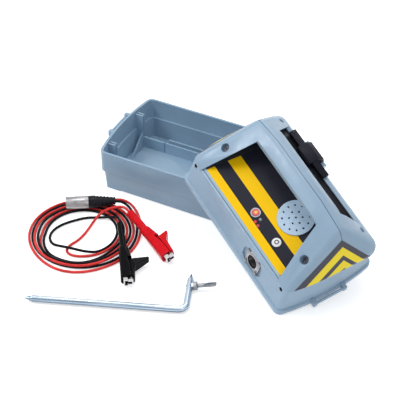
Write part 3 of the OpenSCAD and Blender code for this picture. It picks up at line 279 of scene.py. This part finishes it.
# ABS, injection moulded with a spark-eroded texture: an even satin, a little cloudy, with faint rub marks;
# its grain is drawn coarser than the real one, so that it shows from close by
def mouldedAbs(name, colour, darker, rough=0.36, shine=0.5, stripe=None, hole=None):
    material, tree, shader = newMaterial(name)
    coords = addNode(tree, "ShaderNodeTexCoord").outputs["Object"]
    cloud = addNode(tree, "ShaderNodeTexNoise", {"Vector": coords, "Scale": 1 / (absSet["cloudMm"] * mm),
        "Detail": 3.0})
    low, high = absSet["cloudEnds"]
    tone = addNode(tree, "ShaderNodeValToRGB", {"Fac": cloud.outputs["Fac"]}, [(low, darker), (high, colour)])
    shade = tone.outputs["Color"]
    if stripe:  # painted shade in a seam, or a border, straight across the case
        inside = addNode(tree, "ShaderNodeMath", {0: caseCoords(tree)["Y"], 1: stripe["place"] * mm,
            2: stripe["half"] * mm}, operation="COMPARE")
        striped = addNode(tree, "ShaderNodeMix", {"Factor": inside.outputs[0], 6: shade,
            7: linear(stripe["colour"])}, data_type="RGBA")
        shade = striped.outputs[2]
    if hole:  # painted shade down a screw hole
        holeShaded = addNode(tree, "ShaderNodeMix", {"Factor": boreShadeMask(tree, hole), 6: shade,
            7: linear(hole["colour"])}, data_type="RGBA")
        shade = holeShaded.outputs[2]
    rubbed = addNode(tree, "ShaderNodeTexNoise", {"Vector": coords, "Scale": 1 / (absSet["rubMm"] * mm),
        "Detail": 6.0})
    low, high = absSet["rubEnds"]
    satin = addNode(tree, "ShaderNodeMapRange", {"Value": rubbed.outputs["Fac"], "From Min": low,
        "From Max": high, "To Min": rough - absSet["smoother"], "To Max": rough + absSet["rougher"]})
    grain = addNode(tree, "ShaderNodeTexNoise", {"Vector": coords, "Scale": 1 / (absSet["grainMm"] * mm),
        "Detail": 2.0})
    bump = addNode(tree, "ShaderNodeBump", {"Height": grain.outputs["Fac"],
        "Strength": absSet["grainStrength"], "Distance": absSet["grainDeepMm"] * mm})
    setInputs(tree, shader, {"IOR": 1.53, "Specular IOR Level": shine, "Base Color": shade,
        "Roughness": satin.outputs["Result"], "Normal": bump.outputs["Normal"]})
    return material


vinylSet = dict(cloudMm=14.0, cloudEnds=(0.35, 0.65), smoother=0.06, rougher=0.1, rippleDeepMm=0.1,
    rippleStrength=0.3, jacketRippleMm=6.0)


# soft vinyl, dipped or extruded: smooth and broad in its shine, with a slow ripple
def dippedVinyl(name, colour, darker, rough, rippleMm=3.5, shine=0.2):
    material, tree, shader = newMaterial(name)
    coords = addNode(tree, "ShaderNodeTexCoord").outputs["Object"]
    cloud = addNode(tree, "ShaderNodeTexNoise", {"Vector": coords, "Scale": 1 / (vinylSet["cloudMm"] * mm),
        "Detail": 2.0})
    low, high = vinylSet["cloudEnds"]
    tone = addNode(tree, "ShaderNodeValToRGB", {"Fac": cloud.outputs["Fac"]}, [(low, darker), (high, colour)])
    ripple = addNode(tree, "ShaderNodeTexNoise", {"Vector": coords, "Scale": 1 / (rippleMm * mm),
        "Detail": 2.0})
    satin = addNode(tree, "ShaderNodeMapRange", {"Value": ripple.outputs["Fac"],
        "To Min": rough - vinylSet["smoother"], "To Max": rough + vinylSet["rougher"]})
    bump = addNode(tree, "ShaderNodeBump", {"Height": ripple.outputs["Fac"],
        "Strength": vinylSet["rippleStrength"], "Distance": vinylSet["rippleDeepMm"] * mm})
    setInputs(tree, shader, {"IOR": 1.52, "Specular IOR Level": shine, "Base Color": tone.outputs["Color"],
        "Roughness": satin.outputs["Result"], "Normal": bump.outputs["Normal"]})
    return material


plateSet = dict(cloudMm=6.0, cloudEnds=(0.3, 0.7), smoothest=0.7, roughest=1.4, grainMm=0.5, grainDeepMm=0.02,
    grainStrength=0.12)
nickelSet = dict(colour="#D6D6D6", darker="#BDBDC0", rough=0.22)
# painted shade down the socket's bore
socketBoreShade = dict(x=41.0, y=-61.96, z=22.0, lean=10.73, radius=8.45, colour="#1B1B1E")


# steel, turned or pressed, then plated: bright and slightly blotched, with painted shade down a bore and on
# the part inside a boot;
# its grain is drawn coarser than the real one too
def platedSteel(name, colour, darker, rough, bore=None, boot=None):
    material, tree, shader = newMaterial(name)
    coords = addNode(tree, "ShaderNodeTexCoord").outputs["Object"]
    cloud = addNode(tree, "ShaderNodeTexNoise", {"Vector": coords, "Scale": 1 / (plateSet["cloudMm"] * mm),
        "Detail": 4.0})
    low, high = plateSet["cloudEnds"]
    tone = addNode(tree, "ShaderNodeValToRGB", {"Fac": cloud.outputs["Fac"]}, [(low, darker), (high, colour)])
    shade = tone.outputs["Color"]
    # painted shade down the bore
    if bore:
        boreShaded = addNode(tree, "ShaderNodeMix", {"Factor": boreShadeMask(tree, bore), 6: shade,
            7: linear(bore["colour"])}, data_type="RGBA")
        shade = boreShaded.outputs[2]
    # painted shade on the jaws where they sit inside the boot, tinted with the boot's colour
    if boot:
        off = addNode(tree, "ShaderNodeVectorMath", {0: coords, 1: boot["place"]}, operation="SUBTRACT")
        along = addNode(tree, "ShaderNodeVectorMath", {0: off.outputs[0], 1: boot["along"]},
            operation="DOT_PRODUCT")
        inside = addNode(tree, "ShaderNodeMath", {0: along.outputs["Value"], 1: boot["mouth"]},
            operation="LESS_THAN")
        bootShaded = addNode(tree, "ShaderNodeMix", {"Factor": inside.outputs[0], 6: shade,
            7: linear(boot["colour"])}, data_type="RGBA")
        shade = bootShaded.outputs[2]
    satin = addNode(tree, "ShaderNodeMapRange", {"Value": cloud.outputs["Fac"],
        "To Min": rough * plateSet["smoothest"], "To Max": rough * plateSet["roughest"]})
    grain = addNode(tree, "ShaderNodeTexNoise", {"Vector": coords, "Scale": 1 / (plateSet["grainMm"] * mm),
        "Detail": 2.0})
    bump = addNode(tree, "ShaderNodeBump", {"Height": grain.outputs["Fac"],
        "Strength": plateSet["grainStrength"], "Distance": plateSet["grainDeepMm"] * mm})
    setInputs(tree, shader, {"Metallic": 1.0, "Base Color": shade, "Roughness": satin.outputs["Result"],
        "Normal": bump.outputs["Normal"]})
    return material


# the stops are streak tones that also serve as painted shade and highlight; under is the painted shade on
# faces turned down
drawnSet = dict(upMm=1.7, alongMm=160.0, stops=((0.34, "#3F5165"), (0.46, "#8A9EB2"), (0.6, "#CBD8E4")),
    under="#3A4B5E", underEnds=(0.1, -0.5), roughEnds=(0.16, 0.34), streakDeepMm=0.05, streakStrength=0.2)


# steel rod, drawn and zinc plated: long bluish streaks, drawn wider than the real ones so that they show;
# their dark and light ends also stand in for painted shade and highlight, and faces turned down get painted
# shade
def drawnZinc():
    material, tree, shader = newMaterial("drawnZincSteel")
    coords = addNode(tree, "ShaderNodeTexCoord").outputs["Object"]
    along, up = drawnSet["alongMm"] * mm, drawnSet["upMm"] * mm
    stretched = addNode(tree, "ShaderNodeMapping", {"Vector": coords, "Scale": (along, along, up)},
        vector_type="TEXTURE")
    streak = addNode(tree, "ShaderNodeTexNoise", {"Vector": stretched.outputs["Vector"], "Scale": 1.0,
        "Detail": 3.0})
    tone = addNode(tree, "ShaderNodeValToRGB", {"Fac": streak.outputs["Fac"]}, drawnSet["stops"])
    normal = addNode(tree, "ShaderNodeNewGeometry").outputs["Normal"]
    facing = addNode(tree, "ShaderNodeSeparateXYZ", {0: normal})
    # painted shade on the faces turned down
    low, high = drawnSet["underEnds"]
    below = addNode(tree, "ShaderNodeMapRange", {"Value": facing.outputs["Z"], "From Min": low,
        "From Max": high})
    shadedBelow = addNode(tree, "ShaderNodeMix", {"Factor": below.outputs["Result"], 6: tone.outputs["Color"],
        7: linear(drawnSet["under"])}, data_type="RGBA")
    low, high = drawnSet["roughEnds"]
    satin = addNode(tree, "ShaderNodeMapRange", {"Value": streak.outputs["Fac"], "To Min": low,
        "To Max": high})
    bump = addNode(tree, "ShaderNodeBump", {"Height": streak.outputs["Fac"],
        "Strength": drawnSet["streakStrength"], "Distance": drawnSet["streakDeepMm"] * mm})
    setInputs(tree, shader, {"Metallic": 1.0, "Base Color": shadedBelow.outputs[2],
        "Roughness": satin.outputs["Result"], "Normal": bump.outputs["Normal"]})
    return material


filmSet = dict(front=-51.5, back=32.0, grainMm=0.9, grainDeepMm=0.03, grainStrength=0.15,
    roughEnds=(0.34, 0.5))
filmYellow, filmBlack = "#F3C200", "#23242F"
panelBands = ((filmSet["front"], filmYellow), (-41.5, filmBlack), (-24.8, filmYellow), (-8.5, filmBlack))
rearBands = ((filmSet["front"], "#16161C"), (20.0, "#1E1E25"))


# polycarbonate film, screen printed from behind: flat satin colour in hard-edged bands across the panel
def printedFilm(name, colourBands):
    material, tree, shader = newMaterial(name)
    front, back = filmSet["front"] * mm, filmSet["back"] * mm
    place = addNode(tree, "ShaderNodeMapRange", {"Value": caseCoords(tree)["Y"], "From Min": front,
        "From Max": back})
    stops = [((edge * mm - front) / (back - front), code) for edge, code in colourBands]
    bands = addNode(tree, "ShaderNodeValToRGB", {"Fac": place.outputs["Result"]}, stops)
    bands.color_ramp.interpolation = "CONSTANT"
    coords = addNode(tree, "ShaderNodeTexCoord").outputs["Object"]
    grain = addNode(tree, "ShaderNodeTexNoise", {"Vector": coords, "Scale": 1 / (filmSet["grainMm"] * mm),
        "Detail": 2.0})
    low, high = filmSet["roughEnds"]
    satin = addNode(tree, "ShaderNodeMapRange", {"Value": grain.outputs["Fac"], "To Min": low,
        "To Max": high})
    bump = addNode(tree, "ShaderNodeBump", {"Height": grain.outputs["Fac"],
        "Strength": filmSet["grainStrength"], "Distance": filmSet["grainDeepMm"] * mm})
    setInputs(tree, shader, {"IOR": 1.58, "Specular IOR Level": 0.08, "Base Color": bands.outputs["Color"],
        "Roughness": satin.outputs["Result"], "Normal": bump.outputs["Normal"]})
    return material


chevronSet = dict(frontFoot=-47.5, apex=21.0, rearFoot=56.0, footZ=44.6, topZ=84.0, rearScale=0.85,
    beadMm=1.1, beadDeepMm=0.03, beadStrength=0.2, roughEnds=(0.34, 0.5))
sheetDark, sheetYellow = "#42424E", "#F0D92C"
chevronBands = ((0.0, sheetDark), (0.2, sheetYellow), (0.45, sheetDark), (0.6, sheetYellow),
    (0.84, sheetDark))


# reflective sheeting, die cut: dark and yellow bands that follow the end's gable, with a fine bead texture
def chevronFilm():
    material, tree, shader = newMaterial("chevronSheeting")
    local = caseCoords(tree)
    footZ, topZ = chevronSet["footZ"] * mm, chevronSet["topZ"] * mm
    shares = []
    for foot, scale in ((chevronSet["frontFoot"], 1.0), (chevronSet["rearFoot"], chevronSet["rearScale"])):
        slope = addNode(tree, "ShaderNodeMapRange", {"Value": local["Y"], "From Min": foot * mm,
            "From Max": chevronSet["apex"] * mm, "To Min": footZ, "To Max": topZ}, clamp=False)
        below = addNode(tree, "ShaderNodeMath", {0: slope.outputs["Result"], 1: local["Z"]},
            operation="SUBTRACT")
        share = addNode(tree, "ShaderNodeMath", {0: below.outputs[0], 1: scale / (topZ - footZ)},
            operation="MULTIPLY")
        shares.append(share.outputs[0])
    nearest = addNode(tree, "ShaderNodeMath", {0: shares[0], 1: shares[1]}, operation="MINIMUM")
    bands = addNode(tree, "ShaderNodeValToRGB", {"Fac": nearest.outputs[0]}, chevronBands)
    bands.color_ramp.interpolation = "CONSTANT"
    coords = addNode(tree, "ShaderNodeTexCoord").outputs["Object"]
    bead = addNode(tree, "ShaderNodeTexVoronoi", {"Vector": coords, "Scale": 1 / (chevronSet["beadMm"] * mm)})
    low, high = chevronSet["roughEnds"]
    satin = addNode(tree, "ShaderNodeMapRange", {"Value": bead.outputs["Distance"], "To Min": low,
        "To Max": high})
    bump = addNode(tree, "ShaderNodeBump", {"Height": bead.outputs["Distance"],
        "Strength": chevronSet["beadStrength"], "Distance": chevronSet["beadDeepMm"] * mm})
    setInputs(tree, shader, {"IOR": 1.5, "Specular IOR Level": 0.3, "Base Color": bands.outputs["Color"],
        "Roughness": satin.outputs["Result"], "Normal": bump.outputs["Normal"]})
    return material


capSet = dict(reach=6.0, grainMm=0.8, rougher=0.1)
panelSet = dict(front=-54.4, z=45.2, slope=10.0)
modeSet = dict(x=-1.0, y=-33.0, rough=0.2, rings=((0.0, "#E9B72A"), (1.6, "#D8402E"), (3.6, "#A81D22")))
powerSet = dict(x=44.5, y=-33.0, rough=0.3,
    rings=((0.0, "#E6E7E8"), (1.4, "#34363F"), (2.9, "#DADCDF"), (3.6, "#F0F0F0")))


# polycarbonate cap, moulded and printed: rings of colour about its middle, glossy
def ringedCap(name, cap):
    material, tree, shader = newMaterial(name)
    rise = (cap["y"] - panelSet["front"]) * math.tan(math.radians(panelSet["slope"]))
    local = caseCoords(tree, (cap["x"], cap["y"], panelSet["z"] + rise))
    flat = addNode(tree, "ShaderNodeCombineXYZ", {"X": local["X"], "Y": local["Y"]})
    radius = addNode(tree, "ShaderNodeVectorMath", {0: flat.outputs[0]}, operation="LENGTH")
    share = addNode(tree, "ShaderNodeMath", {0: radius.outputs["Value"], 1: capSet["reach"] * mm},
        operation="DIVIDE")
    stops = [(ring / capSet["reach"], code) for ring, code in cap["rings"]]
    bands = addNode(tree, "ShaderNodeValToRGB", {"Fac": share.outputs[0]}, stops)
    bands.color_ramp.interpolation = "CONSTANT"
    coords = addNode(tree, "ShaderNodeTexCoord").outputs["Object"]
    grain = addNode(tree, "ShaderNodeTexNoise", {"Vector": coords, "Scale": 1 / (capSet["grainMm"] * mm),
        "Detail": 2.0})
    satin = addNode(tree, "ShaderNodeMapRange", {"Value": grain.outputs["Fac"], "To Min": cap["rough"],
        "To Max": cap["rough"] + capSet["rougher"]})
    setInputs(tree, shader, {"IOR": 1.58, "Base Color": bands.outputs["Color"],
        "Roughness": satin.outputs["Result"]})
    return material


lensSet = dict(first=6.0, last=18.0, lamps=((6.0, "#D8202A"), (11.4, "#C8464C")), rowY=-36.0, unlit="#7C7F88",
    hazeMm=1.5, roughEnds=(0.08, 0.22))


# acrylic lamp caps, moulded in their colour: clear gloss, one colour for each lamp
def lampCaps():
    material, tree, shader = newMaterial("mouldedAcrylicLamps")
    first, last = lensSet["first"], lensSet["last"]
    local = caseCoords(tree)
    share = addNode(tree, "ShaderNodeMapRange", {"Value": local["X"], "From Min": first * mm,
        "From Max": last * mm})
    stops = [((x - first) / (last - first), code) for x, code in lensSet["lamps"]]
    bands = addNode(tree, "ShaderNodeValToRGB", {"Fac": share.outputs["Result"]}, stops)
    bands.color_ramp.interpolation = "CONSTANT"
    behind = addNode(tree, "ShaderNodeMath", {0: local["Y"], 1: lensSet["rowY"] * mm},
        operation="GREATER_THAN")
    lamps = addNode(tree, "ShaderNodeMix", {"Factor": behind.outputs[0], 6: bands.outputs["Color"],
        7: linear(lensSet["unlit"])}, data_type="RGBA")
    coords = addNode(tree, "ShaderNodeTexCoord").outputs["Object"]
    haze = addNode(tree, "ShaderNodeTexNoise", {"Vector": coords, "Scale": 1 / (lensSet["hazeMm"] * mm)})
    low, high = lensSet["roughEnds"]
    satin = addNode(tree, "ShaderNodeMapRange", {"Value": haze.outputs["Fac"], "To Min": low, "To Max": high})
    setInputs(tree, shader, {"IOR": 1.49, "Base Color": lamps.outputs[2],
        "Roughness": satin.outputs["Result"]})
    return material


boardSet = dict(trackMm=12.0, lacquer="#1E6B3C", otherLacquer="#237544", track="#4F8A4A", trackShare=0.03,
    trackDeepMm=0.05, trackStrength=0.2)


# glass-fibre laminate under green lacquer: faint copper tracks in straight runs
def boardLaminate():
    material, tree, shader = newMaterial("lacqueredLaminate")
    local = caseCoords(tree)
    flat = addNode(tree, "ShaderNodeCombineXYZ", {"X": local["X"], "Y": local["Y"]})
    track = addNode(tree, "ShaderNodeTexBrick", {"Vector": flat.outputs[0],
        "Scale": 1 / (boardSet["trackMm"] * mm), "Color1": linear(boardSet["lacquer"]),
        "Color2": linear(boardSet["otherLacquer"]), "Mortar": linear(boardSet["track"]),
        "Mortar Size": boardSet["trackShare"]})
    bump = addNode(tree, "ShaderNodeBump", {"Height": track.outputs["Fac"],
        "Strength": boardSet["trackStrength"], "Distance": boardSet["trackDeepMm"] * mm})
    setInputs(tree, shader, {"IOR": 1.5, "Roughness": 0.35, "Base Color": track.outputs["Color"],
        "Normal": bump.outputs["Normal"]})
    return material


windSet = dict(wireMm=0.7, stops=((0.1, "#6E3214"), (0.6, "#B5652F")), ribDeepMm=0.3, ribStrength=0.6)


# enamelled copper wire, wound side by side: fine ribs round the rod, drawn at 0.7 mm so that they show, with
# painted shade in the grooves and painted highlight on the crowns
def woundCopper():
    material, tree, shader = newMaterial("woundCopperWire")
    along = addNode(tree, "ShaderNodeMath", {0: caseCoords(tree)["X"],
        1: 2 * math.pi / (windSet["wireMm"] * mm)}, operation="MULTIPLY")
    rib = addNode(tree, "ShaderNodeMath", {0: along.outputs[0]}, operation="SINE")
    share = addNode(tree, "ShaderNodeMapRange", {"Value": rib.outputs[0], "From Min": -1.0, "From Max": 1.0})
    # painted shade in each groove and painted highlight on each crown
    tone = addNode(tree, "ShaderNodeValToRGB", {"Fac": share.outputs["Result"]}, windSet["stops"])
    bump = addNode(tree, "ShaderNodeBump", {"Height": share.outputs["Result"],
        "Strength": windSet["ribStrength"], "Distance": windSet["ribDeepMm"] * mm})
    setInputs(tree, shader, {"Metallic": 0.7, "Roughness": 0.3, "Base Color": tone.outputs["Color"],
        "Normal": bump.outputs["Normal"]})
    return material


# the case's ABS, with painted shade down its foot screw holes
caseAbs = mouldedAbs("mouldedAbsBlueGrey", "#93ADC4", "#8AA4BB", hole=footHoleShade)
# the tray's ABS is drawn darker than the case's, partly as painted shade
trayAbs = mouldedAbs("mouldedAbsTray", "#8AA6BD", "#819DB4")
# the grille's ABS is drawn lighter than the case's, as painted light on a grille that sits in shade
litGrilleAbs = mouldedAbs("mouldedAbsGrille", "#ADC7DE", "#A4BED5")
# the handle's ABS, with painted shade along the seam between its shells
shellAbs = mouldedAbs("mouldedAbsHandle", "#8DA7BE", "#849EB5", stripe=seamShade)
blackAbs = mouldedAbs("mouldedAbsBlack", "#151724", "#0F111B", rough=0.4, shine=0.12)
panelAbs = mouldedAbs("mouldedAbsPanel", "#181A22", "#111319", rough=0.4, stripe=panelBorder)
whiteAbs = mouldedAbs("mouldedAbsWhite", "#E9EAEA", "#DEDFE0")
ferrite = mouldedAbs("sinteredFerrite", "#2E2E31", "#232326", rough=0.55)  # as dull as a rough moulding
redVinyl = dippedVinyl("dippedVinylRed", "#D80F1E", "#C60A18", 0.16, shine=0.1)
blackVinyl = dippedVinyl("dippedVinylBlack", "#08090D", "#050608", 0.18, shine=0.05)
bootRubber = dippedVinyl("mouldedRubberBoot", "#14151D", "#0E0F15", 0.28, shine=0.15)  # duller than the clips
redJacket = dippedVinyl("extrudedVinylRed", "#DC3B38", "#C82C2C", 0.36, vinylSet["jacketRippleMm"])
blackJacket = dippedVinyl("extrudedVinylBlack", "#0E0F16", "#0A0B10", 0.28, vinylSet["jacketRippleMm"],
    shine=0.08)
cellWrap = dippedVinyl("shrunkCellWrap", "#23262E", "#1A1C22", 0.28)  # vinyl film, shrunk tight
nickel = platedSteel("nickelPlatedSteel", **nickelSet)
dullNickel = platedSteel("dullNickelSteel", "#9A9DA2", "#7F8288", 0.34)
satinNickel = platedSteel("satinNickelShell", "#A9A7A9", "#8A898B", 0.3)
socketNickel = platedSteel("satinNickelSocket", "#B4B3B5", "#97969A", 0.3, bore=socketBoreShade)
# dark steel; on the handle screws its darkness is painted shade down their cups
darkSteel = platedSteel("darkSteelAndShade", "#4B4E54", "#35383D", 0.4)
gilt = platedSteel("giltBrass", "#D8B25A", "#BE9440", 0.25)  # turned pins under a thin gilding
zinc = drawnZinc()
panelFilm = printedFilm("printedPanelFilm", panelBands)
rearFilm = printedFilm("printedRearFilm", rearBands)
endFilm = chevronFilm()
modeCap = ringedCap("printedModeCap", modeSet)
powerCap = ringedCap("printedPowerCap", powerSet)
lampAcrylic = lampCaps()
laminate = boardLaminate()
copper = woundCopper()
print("materials made")

plugSet = dict(place=(-202.8, -14.0, 12.0), turn=31.8, shell=29.0, boot=34.0, bootEdge=0.45, leadGap=0.3)
coilSet = dict(middle=(-159.8, -44.0), radius=71.0, pitch=4.1, start=22.0, lift=1.75, stepsPerTurn=30,
    climb=0.2, strayAt=0.27, strayHalf=0.09)
climbs = (  # begin and end in turns from the plug, rise and shift in mm
    dict(begin=0.98, end=1.62, rise=3.5, shift=5.0),
    dict(begin=1.98, end=2.62, rise=0.0, shift=8.0),
)
leadSet = dict(diameter=3.4, roundSteps=4, alongSteps=5)
# bootShade is the painted shade on each clip's jaws inside its boot
redSet = dict(side=1, strand=0, turns=3.25, stray=5.0, clip=(-119.0, 3.7, 14.5), turn=-30.1, tilt=3.7,
    bootShade="#3A0A0D",
    fromPlug=[(19, 69.5, 11), (28, 70, 8.5), (38.5, 65.5, 5.2), (48.5, 56.5, 3), (57, 45.5, 2),
        (63, 33.5, 1.75)],
    toClip=[(7, -42.5, 1.75), (1, -40, 1.75), (-2, -34.5, 1.75), (-2, -27.5, 1.75), (1, -17, 1.75),
        (2.5, -4, 1.75), (2, 10, 2), (1.5, 24, 3.5), (3.5, 36, 7), (9.5, 44.5, 10.5), (18.5, 50.5, 13.2),
        (28, 53.5, 14.6)])
blackSet = dict(side=-1, strand=1, turns=3.1167, stray=0.0, clip=(-120.6, -18.8, 12.9), turn=-55.2, tilt=2.9,
    bootShade="#101114",
    fromPlug=[(20, 65.5, 11), (27, 65.5, 8.2), (36, 61, 5), (45, 53, 2.8), (53.5, 42.5, 1.9),
        (59.5, 31, 1.75)],
    toClip=[(33.5, -23.5, 2.2), (27, -29, 3.6), (18, -33.5, 5.4), (8, -36, 6.4), (-2, -37.5, 6.4),
        (-12, -38, 5), (-21, -36.5, 3), (-29, -31, 1.9), (-34, -23, 1.75), (-35.5, -13, 1.75),
        (-33.5, -3, 1.75), (-28.5, 7, 1.75), (-21, 17, 1.75), (-12, 26.5, 1.75), (-1.5, 33, 1.75),
        (8.5, 36.5, 3.2), (19, 38.5, 6.2), (27.5, 37.5, 9.3), (33.5, 33, 11.8)])


def heading(turn, tilt=0.0):
    turned, tipped = math.radians(turn), math.radians(tilt)
    level = math.cos(tipped)
    return Vector((math.cos(turned) * level, math.sin(turned) * level, -math.sin(tipped)))


# a flat spiral in which some half turns climb over their neighbours, and the outer turn strays
def coilPoint(lead, turns):
    angle = math.radians(coilSet["start"]) - 2 * math.pi * turns
    radius = coilSet["radius"] - coilSet["pitch"] * (lead["strand"] + 2 * turns)
    height = coilSet["lift"]
    for half in climbs:
        inside = max(min(turns - half["begin"], half["end"] - turns), 0)
        share = inside / (half["end"] - half["begin"]) / coilSet["climb"]
        height += half["rise"] * min(share, 1)
        radius += half["shift"] * min(max(share - 1, 0), 1)  # it moves over once it has climbed
    radius += lead["stray"] * math.exp(-((turns - coilSet["strayAt"]) / coilSet["strayHalf"]) ** 2)
    x, y = coilSet["middle"]
    return Vector((x + radius * math.cos(angle), y + radius * math.sin(angle), height))


# out of the plug's boot, down to the floor, round the coil, then up into the clip's sleeve
def leadRoute(lead):
    reach = leadSet["diameter"]  # it runs straight for this far at each end
    way = heading(plugSet["turn"])
    across = Vector((-way.y, way.x, 0)) * lead["side"] * (leadSet["diameter"] + plugSet["leadGap"]) / 2
    start = Vector(plugSet["place"]) + way * (plugSet["shell"] + plugSet["boot"]) + across
    middle = Vector((*coilSet["middle"], 0))
    points = [start - way * reach, start, start + way * reach]
    points += [middle + Vector(point) for point in lead["fromPlug"]]
    steps = round(lead["turns"] * coilSet["stepsPerTurn"])
    points += [coilPoint(lead, lead["turns"] * i / steps) for i in range(steps + 1)]
    points += [middle + Vector(point) for point in lead["toClip"]]
    into = heading(lead["turn"], lead["tilt"])
    end = Vector(lead["clip"])
    return points + [end - into * reach, end, end + into * reach]


def makeLead(colour, material, points):
    curve = bpy.data.curves.new(colour + "Lead", "CURVE")
    curve.dimensions = "3D"
    curve.bevel_depth = leadSet["diameter"] / 2 * mm
    curve.bevel_resolution = leadSet["roundSteps"]
    curve.resolution_u = leadSet["alongSteps"]
    curve.use_fill_caps = True
    spline = curve.splines.new("BEZIER")
    spline.bezier_points.add(len(points) - 1)
    for knot, point in zip(spline.bezier_points, points):
        knot.co = point * mm
        knot.handle_left_type = knot.handle_right_type = "AUTO"
    curve.materials.append(material)
    lead = bpy.data.objects.new(colour + "Lead", curve)
    scene.collection.objects.link(lead)
    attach(lead, "leads")
    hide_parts(colour + "_plug_tail", colour + "_coil", colour + "_clip_tail")


clipSet = dict(voxelMm=0.45, bootRounds=6, leverRounds=3, leverShrinkMm=0.18, tuckMm=0.5)


# where a clip's jaws leave its boot
def bootMouth(lead, boot):
    place, along = Vector(lead["clip"]) * mm, heading(lead["turn"], lead["tilt"])
    mouth = max((vert.co - place).dot(along) for vert in nodes[boot].data.vertices)
    return dict(place=place, along=along, mouth=mouth - clipSet["tuckMm"] * mm, colour=lead["bootShade"])


plugBoot = easedCopy("plugStrainRelief", "plug_boot", bootRubber, "leads", "black_rubber",
    plugSet["bootEdge"])
for colour, lead, vinyl, jacket in (("red", redSet, redVinyl, redJacket),
        ("black", blackSet, blackVinyl, blackJacket)):
    clip, rubber = colour + "_clip_", colour + "_rubber"
    jaws = platedSteel("nickel" + colour.capitalize() + "ClipJaws", **nickelSet,
        boot=bootMouth(lead, clip + "boot"))
    for node, steel in (("jaw", jaws), ("moving_jaw", jaws), ("pin", darkSteel), ("spring", darkSteel)):
        dress(clip + node, steel)
    boot = softCopy(colour + "ClipBoot", clip + "boot", vinyl, "leads", clipSet["voxelMm"],
        clipSet["bootRounds"])
    lever = softCopy(colour + "ClipLever", clip + "lever", vinyl, colour + "_lever",
        clipSet["voxelMm"], clipSet["leverRounds"], clipSet["leverShrinkMm"])
    makeLead(colour, jacket, leadRoute(lead))
print("leads and clips made")

handleSet = dict(sharpDegrees=35, edgeMm=0.7, roundMm=3.5, roundFrom=7.0, roundSegments=4, cornerMm=5.0,
    cornerSegments=5, seam=21.0, seamNear=0.5, foot=45.2, gripX=45.0, gripY=5.0, gripNear=0.6, steep=0.6)


# a handle shell: broad rounding on its long outer edges and its window's corners, fine at its seam and foot
def handleShell(name, node):
    bm = wholeFaces(node)
    broad, corners = [], []
    for edge in sharpEdges(bm, handleSet["sharpDegrees"]):
        start, end = [toCase @ vert.co / mm for vert in edge.verts]
        middle = (start + end) / 2
        onSeam = abs(middle.y - handleSet["seam"]) < handleSet["seamNear"]
        onGrip = abs(middle.y - handleSet["gripY"]) < handleSet["gripNear"]
        atEnd = abs(middle.x) > handleSet["gripX"]
        upright = abs(start.z - end.z) > handleSet["steep"] * (start - end).length
        isLong = edge.calc_length() > handleSet["roundFrom"] * mm
        if edge.is_convex and isLong and not onSeam and middle.z > handleSet["foot"]:
            broad.append(edge)
        elif not edge.is_convex and onGrip and atEnd and upright:
            corners.append(edge)
    easeEdges(bm, broad, handleSet["roundMm"], handleSet["roundSegments"])
    corners = [edge for edge in corners if edge.is_valid]
    easeEdges(bm, corners, handleSet["cornerMm"], handleSet["cornerSegments"])
    easeEdges(bm, sharpEdges(bm, handleSet["sharpDegrees"]), handleSet["edgeMm"], edgeSet["segments"])
    finishPiece(name, bm, shellAbs, "transmitter", node)


handleShell("handleFrontMoulding", "handle_front_shell")
handleShell("handleRearMoulding", "handle_rear_shell")
rigidPieces = dict(
    trayMoulding=dict(node="tray_shell", material=trayAbs, body="tray", slot="case_plastic", edgeMm=0.6,
        longMm=1.3),
    lowerCaseMoulding=dict(node="lower_case", material=caseAbs, body="transmitter", slot="case_plastic",
        edgeMm=0.6, longMm=1.3),
    grilleDisc=dict(node="speaker_grille", material=litGrilleAbs, body="transmitter", slot="case_plastic",
        edgeMm=0.35, smoothDegrees=12),
    latchClasp=dict(node="latch", material=blackAbs, body="latch", slot="black_plastic", edgeMm=0.8),
    plugBarrel=dict(node="plug_shell", material=satinNickel, body="leads", slot="nickel", edgeMm=0.5),
    socketFlange=dict(node="socket_shell", material=socketNickel, body="transmitter", slot="nickel",
        edgeMm=0.4),
    stakeNut=dict(node="stake_nut", material=dullNickel, body="stake", slot="zinc_steel", edgeMm=0.4),
    wingScrew=dict(node="wing_screw", material=dullNickel, body="wing_screw", slot="zinc_steel", edgeMm=0.35),
)
for name, piece in rigidPieces.items():
    easedCopy(name, **piece)
# the handle screws are dark steel, as painted shade down their cups
finishes = {
    "base_plate": caseAbs, "base_screws": nickel, "handle_screws": darkSteel, "latch_pin": nickel,
    "control_panel": panelAbs, "panel_overlay": panelFilm, "rear_overlay": rearFilm, "end_overlays": endFilm,
    "mode_button": modeCap, "mode_bezel": dullNickel, "power_button": powerCap, "power_ring": whiteAbs,
    "indicator_lenses": lampAcrylic, "socket_insert": blackAbs, "socket_contacts": gilt,
    "socket_screws": dullNickel, "plug_insert": blackAbs, "plug_pins": gilt, "stake_rod": zinc,
    "battery_holder": blackAbs, "battery_cells": cellWrap, "battery_contacts": nickel,
    "circuit_board": laminate, "tact_switches": blackAbs, "ferrite_rod": ferrite, "antenna_winding": copper,
    "speaker": blackAbs,
}
for node, material in finishes.items():
    dress(node, material)
print("pieces made")
